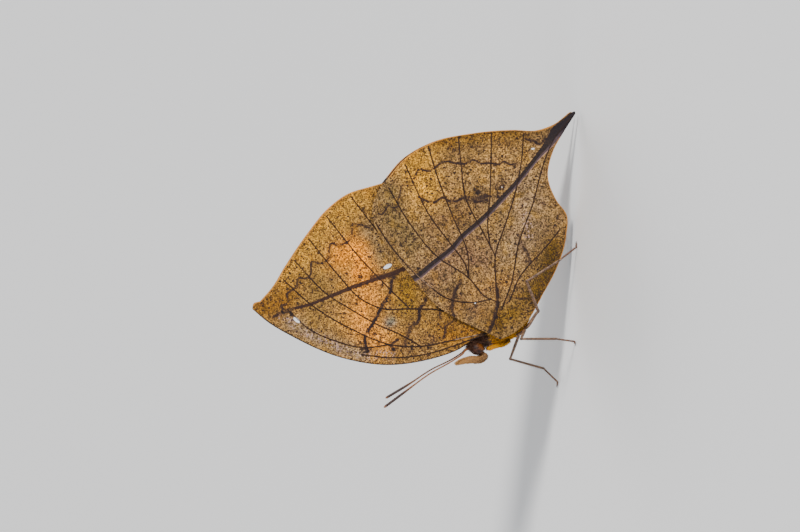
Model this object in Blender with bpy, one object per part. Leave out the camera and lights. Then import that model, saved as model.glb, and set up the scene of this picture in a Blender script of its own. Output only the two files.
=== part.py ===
"""Leaf butterfly of the genus Kallima, life size, at rest with its wings closed over its back.

The head is towards -X, the hindwing's tail towards +X, up is +Z and the animal's left side is -Y.
The four walking feet stand on the plane z = 0. Sizes are in millimetres, and make_node turns them
into metres. Places on the wings are (x, z) pairs, because closed wings lie almost in the XZ plane.
"""

import math

import bpy
import bmesh
import numpy as np
from mathutils import Vector
from mathutils.geometry import delaunay_2d_cdt

# Driving dimensions, in millimetres
GAP = 0.3
WING_THICKNESS = 0.5
VEIN_HEIGHT = 0.14
VEIN_HALF_WIDTH = 0.45
FOREWING_OFFSET = 0.55
LAYER_SPACING = 1.2
LOBE_HEIGHT = 12.6

NECK = np.array([-16.3, 16.8])
BODY_SLOPE_DEG = 47.8
THORAX_LENGTH = 9.2
THORAX_HALF_WIDTH = 2.4
ABDOMEN_END = np.array([1.9, 4.2])
ABDOMEN_RADIUS = 1.6
ABDOMEN_SEGMENTS = 8

HEAD_RADIUS = 1.5
HEAD_HALF_WIDTH = 1.0
HEAD_FROM_NECK = 2.25
NECK_LENGTH = 0.6
EYE_RADIUS = 1.3
EYE_HEIGHT = 1.0
PALP_DEPTH = 1.5
PALP_WIDTH = 1.0
COIL_RADIUS = 0.8
COIL_TURNS = 1.55
ANTENNA_SHAFT_RADIUS = 0.25
ANTENNA_CLUB_RADIUS = 0.33

FORELEG_RADIUS = 0.36
FEMUR_RADIUS = 0.34
TIBIA_RADIUS = 0.28
TARSUS_RADIUS = 0.25
TOE_LENGTH = 1.1
MITRE_ROOM = 0.6

# The body's own directions in the XZ plane: tailward along the thorax, and towards the back
BODY_SLOPE = math.radians(BODY_SLOPE_DEG)
TAILWARD = np.array([math.cos(BODY_SLOPE), -math.sin(BODY_SLOPE)])
BACKWARD = np.array([-TAILWARD[1], TAILWARD[0]])

SIDES = {"left": -1.0, "right": 1.0}


def clear_scene():
    for old in list(bpy.data.objects):
        bpy.data.objects.remove(old, do_unlink=True)


def material(name, colour, roughness, metallic=0.0):
    """A Principled BSDF of one colour, given as linear red, green and blue."""
    made = bpy.data.materials.new(name)
    made.use_nodes = True
    shader = made.node_tree.nodes["Principled BSDF"]
    shader.inputs["Base Color"].default_value = (*colour, 1.0)
    shader.inputs["Roughness"].default_value = roughness
    shader.inputs["Metallic"].default_value = metallic
    made.diffuse_color = (*colour, 1.0)
    return made


def make_node(name, vertices, faces, finish):
    """One closed body from vertices in millimetres, with every face turned outwards."""
    mesh = bpy.data.meshes.new(name)
    shape = bmesh.new()
    corners = [shape.verts.new(Vector(v) * 0.001) for v in vertices]
    for face in faces:
        shape.faces.new([corners[i] for i in face])
    bmesh.ops.triangulate(shape, faces=shape.faces[:])
    bmesh.ops.recalc_face_normals(shape, faces=shape.faces[:])
    shape.to_mesh(mesh)
    shape.free()
    mesh.materials.append(finish)
    mesh.shade_smooth()
    mesh.set_sharp_from_angle(angle=math.radians(40))
    node = bpy.data.objects.new(name, mesh)
    bpy.context.scene.collection.objects.link(node)
    return node


def ease(t):
    """Rises smoothly from 0 to 1 as t goes from 0 to 1."""
    t = np.clip(t, 0.0, 1.0)
    return t * t * (3.0 - 2.0 * t)


def smooth_line(points, count):
    """A cubic curve through the given points, read at evenly spaced places along their chords."""
    points = np.asarray(points, float)
    at = np.concatenate(([0.0], np.cumsum(np.linalg.norm(np.diff(points, axis=0), axis=1))))
    slope = np.gradient(points, at, axis=0)
    read = np.linspace(0.0, at[-1], count)
    i = np.clip(np.searchsorted(at, read, side="right") - 1, 0, len(at) - 2)
    span = (at[i + 1] - at[i])[:, None]
    t = (read - at[i])[:, None] / span
    start = (1 + 2 * t) * (1 - t) ** 2 * points[i] + t * (1 - t) ** 2 * span * slope[i]
    end = t * t * (3 - 2 * t) * points[i + 1] + t * t * (t - 1) * span * slope[i + 1]
    return start + end


def spaced_line(points, step):
    """The same curve, with its points about one step apart."""
    points = np.asarray(points, float)
    length = np.linalg.norm(np.diff(points, axis=0), axis=1).sum()
    return smooth_line(points, max(2, round(length / step) + 1))


def distance_to_line(points, line):
    """Distance from each point to the nearest place on a line of straight runs."""
    start = line[:-1]
    run = np.diff(line, axis=0)
    offset = points[:, None, :] - start
    along = np.clip((offset * run).sum(2) / (run * run).sum(1), 0.0, 1.0)
    return np.linalg.norm(offset - along[..., None] * run, axis=2).min(1)


def body_point(along, back, side):
    """A point of the body: distance behind the neck, height towards the back, and sideways place."""
    x, z = NECK + along * TAILWARD + back * BACKWARD
    return np.array([x, side, z])


def body_vector(along, back, side):
    """A direction given the same way, of length 1."""
    x, z = along * TAILWARD + back * BACKWARD
    made = np.array([x, side, z])
    return made / np.linalg.norm(made)


# Tubes and rounded forms

def ring_frames(path):
    """Two crosswise directions at each point of a path, turned as little as possible along it."""
    forward = np.gradient(path, axis=0)
    forward /= np.linalg.norm(forward, axis=1)[:, None]
    across = np.cross(forward[0], (0.0, 0.0, 1.0))
    if np.linalg.norm(across) < 0.2:
        across = np.cross(forward[0], (0.0, 1.0, 0.0))
    frames = []
    for direction in forward:
        across = across - direction * (across @ direction)
        across = across / np.linalg.norm(across)
        frames.append((across, np.cross(direction, across)))
    return forward, frames


def loft(rings):
    """Closed skin over a row of rings with equal counts, with a flat fan on each end."""
    rings = [np.asarray(ring) for ring in rings]
    sides = len(rings[0])
    vertices = np.concatenate(rings + [rings[0].mean(0)[None], rings[-1].mean(0)[None]])
    faces = []
    for row in range(len(rings) - 1):
        for k in range(sides):
            a = row * sides + k
            b = row * sides + (k + 1) % sides
            faces.append((a, b, b + sides, a + sides))
    first = len(rings) * sides
    top = (len(rings) - 1) * sides
    for k in range(sides):
        faces.append((first, (k + 1) % sides, k))
        faces.append((first + 1, top + k, top + (k + 1) % sides))
    return vertices, faces


def tube(path, radii, sides, start_plane=None, end_plane=None, flatten=1.0):
    """Rings round a path. A plane, as point and normal, mitres the ring at that end.

    flatten is the ratio of the width along the first crosswise direction to the other one.
    """
    path = np.asarray(path, float)
    forward, frames = ring_frames(path)
    turns = np.arange(sides) * 2 * math.pi / sides
    rings = []
    for centre, radius, (across, other) in zip(path, radii, frames):
        wide = np.outer(np.cos(turns), across) * radius * flatten
        rings.append(centre + wide + np.outer(np.sin(turns), other) * radius)
    for end, plane in ((0, start_plane), (-1, end_plane)):
        if plane is not None:
            point, normal = plane
            slide = (point - rings[end]) @ normal / (forward[end] @ normal)
            rings[end] = rings[end] + slide[:, None] * forward[end]
    return rings


# Thorax: stations along the axis with half width, height of the back and depth of the underside

THORAX_STATIONS = np.array([
    # along, half width, back, underside
    (-NECK_LENGTH, 0.85, 0.9, 0.9),
    (0.4, 1.5, 1.65, 1.6),
    (1.5, 1.95, 2.25, 2.2),
    (3.0, THORAX_HALF_WIDTH, 2.65, 2.7),
    (5.0, THORAX_HALF_WIDTH, 2.7, 3.1),
    (7.0, 2.1, 2.4, 3.2),
    (8.4, 1.65, 1.9, 2.6),
    (THORAX_LENGTH, 1.2, 1.35, 1.7),
])


def thorax_section(along):
    """Half width, back height and underside depth at one distance behind the neck."""
    return [np.interp(along, THORAX_STATIONS[:, 0], THORAX_STATIONS[:, k]) for k in (1, 2, 3)]


def thorax_surface(along, from_below_deg, side):
    """Point and outward direction on the underside, at an angle from straight below."""
    half_width, _, underside = thorax_section(along)
    angle = math.radians(from_below_deg)
    point = body_point(along, -underside * math.cos(angle), side * half_width * math.sin(angle))
    outward = body_vector(0.0, -math.cos(angle) / underside, side * math.sin(angle) / half_width)
    return point, outward


def make_thorax():
    sides = 18
    turns = np.arange(sides) * 2 * math.pi / sides
    rings = []
    for along in np.linspace(-NECK_LENGTH, THORAX_LENGTH, 13):
        half_width, back, underside = thorax_section(along)
        height = np.where(np.cos(turns) > 0, back, underside) * np.cos(turns)
        rings.append([body_point(along, h, half_width * math.sin(t)) for h, t in zip(height, turns)])
    fur = material("thorax_fur", (0.20, 0.125, 0.06), 0.9)
    return make_node("thorax", *loft(rings), fur)


def abdomen_line():
    start = NECK + (THORAX_LENGTH + GAP) * TAILWARD
    middle = start * 0.45 + ABDOMEN_END * 0.55 + np.array([0.0, -0.35])
    return smooth_line([start, middle, ABDOMEN_END], 26)


def make_abdomen():
    """A tapering tube with a shallow groove between its segments."""
    line = abdomen_line()
    path = np.column_stack([line[:, 0], np.zeros(len(line)), line[:, 1]])
    along = np.linspace(0.0, 1.0, len(line))
    body = np.interp(along, [0.0, 0.1, 0.3, 0.6, 0.85, 1.0], [0.72, 0.88, 1.0, 0.92, 0.66, 0.3])
    groove = 1.0 - 0.05 * np.cos(along * ABDOMEN_SEGMENTS * 2 * math.pi) ** 8
    front = (path[0], body_vector(1.0, 0.0, 0.0))
    rings = tube(path, ABDOMEN_RADIUS * body * groove, 14, start_plane=front)
    fur = material("abdomen_fur", (0.17, 0.11, 0.06), 0.9)
    return make_node("abdomen", *loft(rings), fur)


# Head, with the eyes on its flat sides, the palps below and the feelers above

def make_head():
    """A short barrel lying across the body, flat at both sides for the eyes and behind for the neck."""
    sides = 18
    rings = []
    for side in np.linspace(-HEAD_HALF_WIDTH, HEAD_HALF_WIDTH, 7):
        radius = head_radius(side)
        turns = np.arange(sides) * 2 * math.pi / sides
        along = np.minimum(radius * np.cos(turns) - HEAD_FROM_NECK, -NECK_LENGTH - GAP)
        rings.append([body_point(a, radius * math.sin(t), side) for a, t in zip(along, turns)])
    fur = material("head_fur", (0.10, 0.06, 0.045), 0.9)
    return make_node("head", *loft(rings), fur)


def head_radius(side):
    return HEAD_RADIUS - 0.2 * (side / HEAD_HALF_WIDTH) ** 2


def make_eyes():
    """A dome on each side of the head."""
    glossy = material("eye", (0.09, 0.035, 0.02), 0.25)
    sides = 18
    turns = np.arange(sides) * 2 * math.pi / sides
    for word, sign in SIDES.items():
        rings = []
        for rise in np.radians([0, 22, 42, 60, 75, 86]):
            out = HEAD_HALF_WIDTH + GAP + EYE_HEIGHT * math.sin(rise)
            radius = EYE_RADIUS * math.cos(rise)
            along = radius * np.cos(turns) - HEAD_FROM_NECK - 0.1
            rings.append([body_point(a, radius * math.sin(t), sign * out) for a, t in zip(along, turns)])
        make_node(f"eye_{word}", *loft(rings), glossy)


def make_palps():
    """The two scaly feelers of the mouth: down from the head, then forward, to a point."""
    scales = material("palp_scales", (0.32, 0.20, 0.09), 0.85)
    below = -HEAD_RADIUS - GAP
    for word, sign in SIDES.items():
        root = body_point(-2.1, below + 0.1, sign * 0.95)
        route = [
            root,
            body_point(-2.25, -2.25, sign * 1.0),
            body_point(-3.2, -2.1, sign * 1.0),
            body_point(-4.7, -1.0, sign * 0.95),
            body_point(-6.25, -0.15, sign * 0.8),
            body_point(-7.65, 0.4, sign * 0.6),
        ]
        path = smooth_line(route, 14)
        along = np.linspace(0.0, 1.0, len(path))
        radii = PALP_DEPTH / 2 * np.interp(along, [0, 0.2, 0.55, 0.85, 1], [0.5, 1.0, 1.0, 0.6, 0.25])
        flat = (root, body_vector(0.0, 1.0, 0.0))
        rings = tube(path, radii, 10, start_plane=flat, flatten=PALP_WIDTH / PALP_DEPTH)
        make_node(f"palp_{word}", *loft(rings), scales)


def make_proboscis():
    """The sucking tube, rolled up between the palps."""
    first_turn = 0.9
    turns = first_turn + np.linspace(0.0, COIL_TURNS * 2 * math.pi, 26)
    radii = np.linspace(0.2, 0.12, len(turns))
    reach = np.linspace(COIL_RADIUS - radii[0], 0.1, len(turns))
    centre_along, centre_back = -4.2, -1.8
    path = [body_point(centre_along + r * math.cos(t), centre_back + r * math.sin(t), 0.0)
            for r, t in zip(reach, turns)]
    horn = material("proboscis_horn", (0.05, 0.025, 0.015), 0.4)
    return make_node("proboscis", *loft(tube(path, radii, 6)), horn)


ANTENNA_ROUTES = {
    "left": [(-19.1, -1.4, 21.6), (-20.3, -1.7, 23.3), (-23.4, -2.6, 28.5), (-26.8, -3.4, 33.0),
             (-30.3, -4.0, 37.5)],
    "right": [(-19.0, 1.4, 21.4), (-20.1, 1.7, 22.9), (-22.6, 2.4, 27.3), (-25.6, 3.1, 31.4),
              (-28.7, 4.0, 36.0)],
}


def make_antennae():
    """A thin straight feeler on each side, swelling slowly to a club in its last third."""
    horn = material("antenna_horn", (0.16, 0.06, 0.025), 0.6)
    for word, sign in SIDES.items():
        side = 0.55
        out = body_vector(-0.9, 0.6, 0.0)
        centre = body_point(-HEAD_FROM_NECK, 0.0, sign * side)
        root = centre + out * (head_radius(side) + GAP)
        path = smooth_line([root, root + out * 0.45, *map(np.array, ANTENNA_ROUTES[word])], 22)
        along = np.linspace(0.0, 1.0, len(path))
        club = ease((along - 0.62) / 0.25) * (ANTENNA_CLUB_RADIUS - ANTENNA_SHAFT_RADIUS)
        radii = (ANTENNA_SHAFT_RADIUS + club) * np.interp(along, [0, 0.97, 1], [1, 1, 0.6])
        make_node(f"antenna_{word}", *loft(tube(path, radii, 7, start_plane=(root, out))), horn)


# Legs: each walking leg is a femur, a tibia and a tarsus that meet in mitred faces

WALKING_LEGS = {
    # place on the thorax, then hip, knee and ankle as (x, y, z), and foot and toe's direction as (x, y)
    "midleg_left": (5.8, (-13.9, -2.5, 9.4), (-15.5, -8.0, 11.1), (-15.2, -8.6, 4.2),
                    (-15.6, -7.6), (-0.5, -0.8)),
    "midleg_right": (5.2, (-15.2, 2.4, 9.7), (-19.9, 6.6, 10.4), (-21.6, 8.2, 3.1),
                     (-24.2, 7.9), (-0.9, 0.3)),
    "hindleg_left": (7.7, (-9.9, -3.35, 6.95), (-4.0, -6.5, 10.2), (0.3, -6.6, 3.9),
                     (3.2, -5.4), (0.9, 0.2)),
    "hindleg_right": (7.7, (-9.9, 3.35, 6.95), (-3.4, 6.9, 9.4), (2.0, 7.2, 3.9),
                      (5.4, 7.0), (0.9, 0.1)),
}
HIP_ANGLE_DEG = 30


def joint_plane(before, at, after):
    """The plane that halves the bend at a joint, as point and normal."""
    into = (at - before) / np.linalg.norm(at - before)
    onward = (after - at) / np.linalg.norm(after - at)
    normal = into + onward
    return at, normal / np.linalg.norm(normal)


def straight_piece(start, end, start_plane, end_plane, radii, finish, name):
    """A straight leg piece between two joint planes, held half a gap clear of each."""
    point, normal = start_plane
    start_plane = (point + normal * GAP / 2, normal)
    point, normal = end_plane
    end_plane = (point - normal * GAP / 2, normal)
    margin = 0.12
    path = start + np.linspace(margin, 1 - margin, len(radii))[:, None] * (end - start)
    path = np.concatenate([[start + (end - start) * 0.02], path, [end - (end - start) * 0.02]])
    radii = np.concatenate([[radii[0]], radii, [radii[-1]]])
    rings = tube(path, radii, 8, start_plane, end_plane)
    return make_node(name, *loft(rings), finish)


def make_femur(name, root, outward, hip, knee, knee_plane, finish):
    """The short hip piece and the thigh as one bent tube, from the thorax's skin to the knee."""
    start = root + outward * GAP
    leaving = start + outward * 0.5
    towards = (knee - hip) / np.linalg.norm(knee - hip)
    point, normal = knee_plane
    before_knee = knee - towards * 0.5
    before_hip = hip - (hip - leaving) / np.linalg.norm(hip - leaving) * 0.5
    route = [start, leaving, before_hip, hip, hip + towards * 0.5, (hip + knee) / 2, before_knee, knee]
    path = smooth_line(route, 20)
    path = np.concatenate([path[np.linalg.norm(path - knee, axis=1) > MITRE_ROOM], [knee]])
    along = np.linspace(0.0, 1.0, len(path))
    radii = FEMUR_RADIUS * np.interp(along, [0, 0.15, 0.35, 0.6, 1.0], [0.95, 0.85, 1.0, 1.0, 0.78])
    plane = (point - normal * GAP / 2, normal)
    return make_node(f"{name}_femur", *loft(tube(path, radii, 8, (start, outward), plane)), finish)


def make_tarsus(name, ankle, ankle_plane, foot, toe_direction, finish):
    """The foot: down from the ankle to the floor and a short way along it, flat underneath."""
    toe = np.array([*toe_direction, 0.0])
    toe = toe / np.linalg.norm(toe) * TOE_LENGTH
    rest = TARSUS_RADIUS * 0.8
    heel = np.array([*foot, rest])
    toward = (heel - ankle) / np.linalg.norm(heel - ankle)
    middle = (ankle + heel) / 2
    route = [ankle, ankle + toward * 0.5, middle, heel - toward * 0.5, heel + toe * 0.25, heel + toe]
    path = smooth_line(route, 16)
    path[:, 2] = np.maximum(path[:, 2], rest)
    path = np.concatenate([[ankle], path[np.linalg.norm(path - ankle, axis=1) > MITRE_ROOM]])
    along = np.linspace(0.0, 1.0, len(path))
    radii = TARSUS_RADIUS * np.interp(along, [0, 0.93, 1.0], [1.0, 1.0, 0.75])
    point, normal = ankle_plane
    plane = (point + normal * GAP / 2, normal)
    vertices, faces = loft(tube(path, radii, 8, start_plane=plane))
    vertices[:, 2] = np.maximum(vertices[:, 2], 0.0)
    return make_node(f"{name}_tarsus", vertices, faces, finish)


def make_walking_legs():
    thigh = material("leg_thigh", (0.36, 0.16, 0.05), 0.6)
    shin = material("leg_shin", (0.34, 0.17, 0.07), 0.6)
    foot_horn = material("leg_foot", (0.30, 0.15, 0.065), 0.6)
    for name, (along, hip, knee, ankle, foot, toe) in WALKING_LEGS.items():
        sign = math.copysign(1.0, hip[1])
        root, outward = thorax_surface(along, HIP_ANGLE_DEG, sign)
        hip, knee, ankle = np.array(hip), np.array(knee), np.array(ankle)
        heel = np.array([*foot, TARSUS_RADIUS])
        knee_plane = joint_plane(hip, knee, ankle)
        ankle_plane = joint_plane(knee, ankle, heel)
        make_femur(name, root, outward, hip, knee, knee_plane, thigh)
        radii = TIBIA_RADIUS * np.array([1.15, 1.0, 0.95, 0.95])
        straight_piece(knee, ankle, knee_plane, ankle_plane, radii, shin, f"{name}_tibia")
        make_tarsus(name, ankle, ankle_plane, foot, toe, foot_horn)


def make_forelegs():
    """The small brush-like front legs, folded forward under the thorax and not used to stand on."""
    fur = material("foreleg_fur", (0.24, 0.15, 0.07), 0.9)
    for word, sign in SIDES.items():
        root, outward = thorax_surface(3.4, 32, sign)
        start = root + outward * GAP
        route = [
            start,
            start + outward * 0.35,
            body_point(2.2, -2.75, sign * 1.5),
            body_point(0.9, -2.1, sign * 1.4),
            body_point(-0.5, -1.65, sign * 1.3),
        ]
        path = smooth_line(route, 13)
        along = np.linspace(0.0, 1.0, len(path))
        radii = FORELEG_RADIUS * np.interp(along, [0, 0.3, 0.7, 1.0], [0.8, 1.0, 1.0, 0.55])
        make_node(f"foreleg_{word}", *loft(tube(path, radii, 8, start_plane=(start, outward))), fur)


# Wings: outlines as edges that meet at corners, and veins as lines, all as (x, z)

FOREWING_EDGES = {
    "costa": [(-15.0, 15.9), (-15.3, 18.0), (-18.2, 22.2), (-20.7, 29.0), (-21.9, 36.6), (-20.9, 45.5),
              (-17.0, 55.8), (-14.2, 61.0), (-11.8, 64.1)],
    "apex": [(-11.8, 64.1), (-10.7, 63.9), (-10.2, 62.6)],
    "outer margin": [(-10.2, 62.6), (-7.3, 60.3), (-3.0, 57.9), (4.0, 53.5), (8.4, 50.2), (12.0, 45.8),
                     (13.6, 41.4), (14.6, 38.4)],
    "inner margin": [(14.6, 38.4), (13.9, 36.8), (10.3, 33.8), (-2.0, 25.0), (-12.4, 17.2), (-13.9, 15.5)],
    "root": [(-13.9, 15.5), (-15.0, 15.9)],
}

FOREWING_VEINS = {
    "cubital and second branch": [(-14.4, 16.8), (-12.3, 21.0), (-10.6, 26.1), (-10.5, 32.6), (-10.7, 38.0),
                                  (-9.1, 42.2), (-3.8, 47.8), (2.3, 53.2)],
    "radial stem": [(-14.6, 17.0), (-16.4, 23.5), (-17.9, 30.0), (-17.8, 36.2), (-15.3, 43.5), (-9.8, 53.4),
                    (-6.0, 57.9)],
    "subcostal": [(-14.95, 17.4), (-17.4, 23.0), (-19.4, 28.8), (-20.4, 36.0), (-20.0, 42.0)],
    "middle branch": [(-17.9, 30.0), (-15.7, 34.3), (-13.8, 39.2), (-11.0, 44.6), (-8.6, 48.9),
                      (-2.1, 56.0)],
    "tip branch": [(-17.8, 36.2), (-18.6, 42.0), (-17.5, 47.3), (-15.4, 52.6), (-11.9, 56.8)],
    "third branch": [(-10.5, 32.6), (-7.0, 36.5), (-0.9, 42.9), (7.0, 49.9)],
    "fourth branch": [(-10.6, 26.1), (-3.0, 33.2), (5.7, 40.6), (11.0, 45.0)],
    "anal vein": [(-13.7, 16.7), (-8.0, 21.2), (2.0, 29.4), (13.0, 38.6)],
}

HINDWING_EDGES = {
    "costal edge": [(-15.2, 15.9), (-14.4, 17.9), (-12.9, 21.4), (-9.9, 27.0), (-4.7, 32.2), (-0.8, 35.5),
                    (4.2, 39.6), (8.0, 41.2), (12.4, 40.3), (14.9, 38.6)],
    "outer margin": [(14.9, 38.6), (19.4, 35.0), (23.0, 29.3), (25.2, 21.2), (26.2, 13.1), (26.3, 8.6),
                     (27.9, 4.3), (30.4, 1.3)],
    "tail tip": [(30.4, 1.3), (30.5, 0.9), (30.1, 0.7)],
    "inner margin": [(30.1, 0.7), (26.2, 3.0), (22.2, 5.0), (17.1, 5.8), (12.7, 4.0), (9.5, 1.6),
                     (5.4, 1.6), (-1.0, 3.3), (-6.8, 6.1), (-11.2, 8.4)],
    "lobe": [(-11.2, 8.4), (-13.4, 10.2), (-15.0, 12.5), (-15.8, 14.6), (-15.2, 15.9)],
}

HINDWING_VEINS = {
    "main stem": [(-13.4, 16.5), (-9.8, 15.2), (-4.0, 15.6), (0.8, 15.9), (6.3, 14.4), (13.5, 12.4),
                  (21.2, 11.3), (25.2, 11.2)],
    "radial stem": [(-8.4, 15.2), (-7.6, 17.3), (-3.8, 21.1), (0.2, 27.7), (7.1, 33.9), (13.2, 37.9)],
    "costal vein": [(-7.9, 16.4), (-8.7, 20.0), (-8.0, 25.5), (-5.6, 29.2), (3.1, 38.1), (6.2, 40.1)],
    "first middle branch": [(-3.8, 21.1), (-1.2, 21.9), (2.4, 24.7), (7.8, 29.2), (18.0, 34.8)],
    "second middle branch": [(-3.8, 21.1), (0.5, 21.4), (8.6, 25.0), (16.1, 28.3), (21.8, 30.3)],
    "third middle branch": [(0.8, 15.9), (5.3, 18.5), (12.5, 22.5), (18.7, 23.6), (23.8, 24.3)],
    "hind branch": [(2.5, 17.0), (6.9, 17.7), (12.6, 17.5), (25.1, 17.7)],
    "tail vein": [(-10.0, 14.4), (-3.9, 12.3), (3.2, 11.3), (11.9, 8.6), (19.1, 7.0), (24.6, 5.0),
                  (29.4, 1.5)],
    "inner vein": [(-8.2, 12.8), (-3.6, 11.0), (3.0, 5.8), (6.7, 2.9)],
}

OUTLINE_STEP = 2.3
VEIN_STEP = 2.4
FILL_STEP = 3.4
FOREWING_ROOT = np.array([[-15.0, 15.9], [-14.2, 16.6]])


def side_lift(points, line, core, reach, height):
    """How far a wing stands out to clear the body: full near the line, none past its reach."""
    return height * ease(1.0 - (distance_to_line(points, line) - core) / reach)


def forewing_place(points):
    """Sideways distance of the forewing's middle surface from the animal's middle plane."""
    at_root = thorax_section(1.7)[0] + GAP + WING_THICKNESS / 2 + VEIN_HEIGHT
    return FOREWING_OFFSET + side_lift(points, FOREWING_ROOT, 1.4, 5.2, at_root - FOREWING_OFFSET)


def hindwing_place(points):
    """The same for the hindwing, which lies outside the forewing, the thorax and the abdomen.

    Below the forewing's root, at its lobe, it comes back in towards the thorax.
    """
    rest = FOREWING_OFFSET + LAYER_SPACING
    skin = GAP + WING_THICKNESS / 2 + VEIN_HEIGHT
    thorax = np.array([NECK + 1.5 * TAILWARD, NECK + THORAX_LENGTH * TAILWARD])
    lifts = [
        (forewing_place(points) - FOREWING_OFFSET) * ease((points[:, 1] - LOBE_HEIGHT) / 2.6),
        side_lift(points, thorax, 1.8, 7.0, THORAX_HALF_WIDTH + skin - rest - 0.2),
        side_lift(points, abdomen_line(), 1.3, 5.0, ABDOMEN_RADIUS + skin - rest + 0.1),
    ]
    return rest + np.max(lifts, axis=0)


def wing_outline(edges):
    """One closed outline from edges that meet end to end."""
    return np.concatenate([spaced_line(points, OUTLINE_STEP)[:-1] for points in edges.values()])


def inside_outline(points, outline):
    """True where a line from the point towards +X crosses the outline an odd number of times."""
    x, z = points[:, 0, None], points[:, 1, None]
    after = np.roll(outline, -1, axis=0)
    straddles = (outline[:, 1] > z) != (after[:, 1] > z)
    rise = after[:, 1] - outline[:, 1]
    rise = np.where(np.abs(rise) < 1e-9, 1e-9, rise)
    crossing = outline[:, 0] + (z - outline[:, 1]) * (after[:, 0] - outline[:, 0]) / rise
    return (straddles & (x < crossing)).sum(1) % 2 == 1


def vein_crests(veins):
    """The veins' middle lines, with each branch's first point on a point of the vein it leaves."""
    crests = []
    for points in veins.values():
        line = spaced_line(points, VEIN_STEP)
        if crests:
            known = np.concatenate(crests)
            apart = np.linalg.norm(known - line[0], axis=1)
            if apart.min() < VEIN_STEP * 0.7:
                line[0] = known[apart.argmin()]
        crests.append(line)
    return crests


def clear_of(points, outline, crests, from_outline, from_veins):
    """Which points are well inside the outline and far enough from every vein."""
    rim = np.concatenate([outline, outline[:1]])
    kept = inside_outline(points, outline) & (distance_to_line(points, rim) > from_outline)
    for crest in crests:
        kept &= distance_to_line(points, crest) > from_veins
    return kept


def wing_layout(edges, veins):
    """Flat layout of a wing: points and triangles, with an edge along each vein's crest and feet."""
    outline = wing_outline(edges)
    crests = vein_crests(veins)
    groups = [outline]
    ties = [(i, (i + 1) % len(outline)) for i in range(len(outline))]
    count = len(outline)
    for crest in crests:
        groups.append(crest)
        ties += [(count + i, count + i + 1) for i in range(len(crest) - 1)]
        count += len(crest)
    for crest in crests:
        forward = np.gradient(crest, axis=0)
        forward /= np.linalg.norm(forward, axis=1)[:, None]
        across = np.column_stack([-forward[:, 1], forward[:, 0]])
        for sign in (-1.0, 1.0):
            foot = crest + sign * VEIN_HALF_WIDTH * across
            kept = clear_of(foot, outline, crests, 0.4, VEIN_HALF_WIDTH * 0.85)
            middle = (foot[1:] + foot[:-1]) / 2
            joined = kept[1:] & kept[:-1] & clear_of(middle, outline, crests, 0.3, VEIN_HALF_WIDTH * 0.7)
            number = count + np.cumsum(kept) - 1
            ties += [(number[i], number[i + 1]) for i in np.flatnonzero(joined)]
            groups.append(foot[kept])
            count += int(kept.sum())
    low, high = outline.min(0), outline.max(0)
    fill = []
    for row, z in enumerate(np.arange(low[1], high[1], FILL_STEP * math.sqrt(3) / 2)):
        x = np.arange(low[0] + (row % 2) * FILL_STEP / 2, high[0], FILL_STEP)
        fill.append(np.column_stack([x, np.full(len(x), z)]))
    fill = np.concatenate(fill)
    groups.append(fill[clear_of(fill, outline, crests, 1.1, VEIN_HALF_WIDTH + 0.8)])
    points = [Vector(p) for p in np.concatenate(groups)]
    ties = [(int(a), int(b)) for a, b in ties]
    made = delaunay_2d_cdt(points, ties, [list(range(len(outline)))], 1, 0.02)
    return np.array([tuple(p) for p in made[0]]), made[2], crests


def make_wing(name, edges, veins, place, sign, finish):
    """A thin plate with like triangles on both faces, raised along the veins, and a rim between."""
    flat, triangles, crests = wing_layout(edges, veins)
    nearest = np.min([distance_to_line(flat, crest) for crest in crests], axis=0)
    ridge = VEIN_HEIGHT * np.clip(1.0 - nearest / (VEIN_HALF_WIDTH * 0.85), 0.0, 1.0)
    half = WING_THICKNESS / 2 + ridge
    middle = place(flat)
    outer = np.column_stack([flat[:, 0], sign * (middle + half), flat[:, 1]])
    inner = np.column_stack([flat[:, 0], sign * (middle - half), flat[:, 1]])
    count = len(flat)
    faces = [tuple(t) for t in triangles]
    faces += [tuple(i + count for i in reversed(t)) for t in triangles]
    used = {}
    for triangle in triangles:
        for a, b in zip(triangle, triangle[1:] + triangle[:1]):
            used[(a, b)] = used.get((a, b), 0) + 1
    for a, b in used:
        if (b, a) not in used:
            faces.append((b, a, a + count, b + count))
    return make_node(name, np.concatenate([outer, inner]), faces, finish)


def make_wings():
    fore = material("forewing_scales", (0.42, 0.24, 0.09), 0.8)
    hind = material("hindwing_scales", (0.36, 0.24, 0.12), 0.8)
    for word, sign in SIDES.items():
        make_wing(f"forewing_{word}", FOREWING_EDGES, FOREWING_VEINS, forewing_place, sign, fore)
        make_wing(f"hindwing_{word}", HINDWING_EDGES, HINDWING_VEINS, hindwing_place, sign, hind)


clear_scene()
make_thorax()
make_abdomen()
make_head()
make_eyes()
make_palps()
make_proboscis()
make_antennae()
make_walking_legs()
make_forelegs()
make_wings()
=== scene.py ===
"""Looks of a life-size leaf butterfly at rest with closed wings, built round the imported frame.

The head is towards -X, the hindwing's tail towards +X, up is +Z and the animal's left side is -Y.
Sizes below are millimetres, and new_piece turns them into metres. Places on a wing are (x, z) pairs.
"""

import math

import bpy
import numpy as np
from mathutils import Matrix


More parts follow.
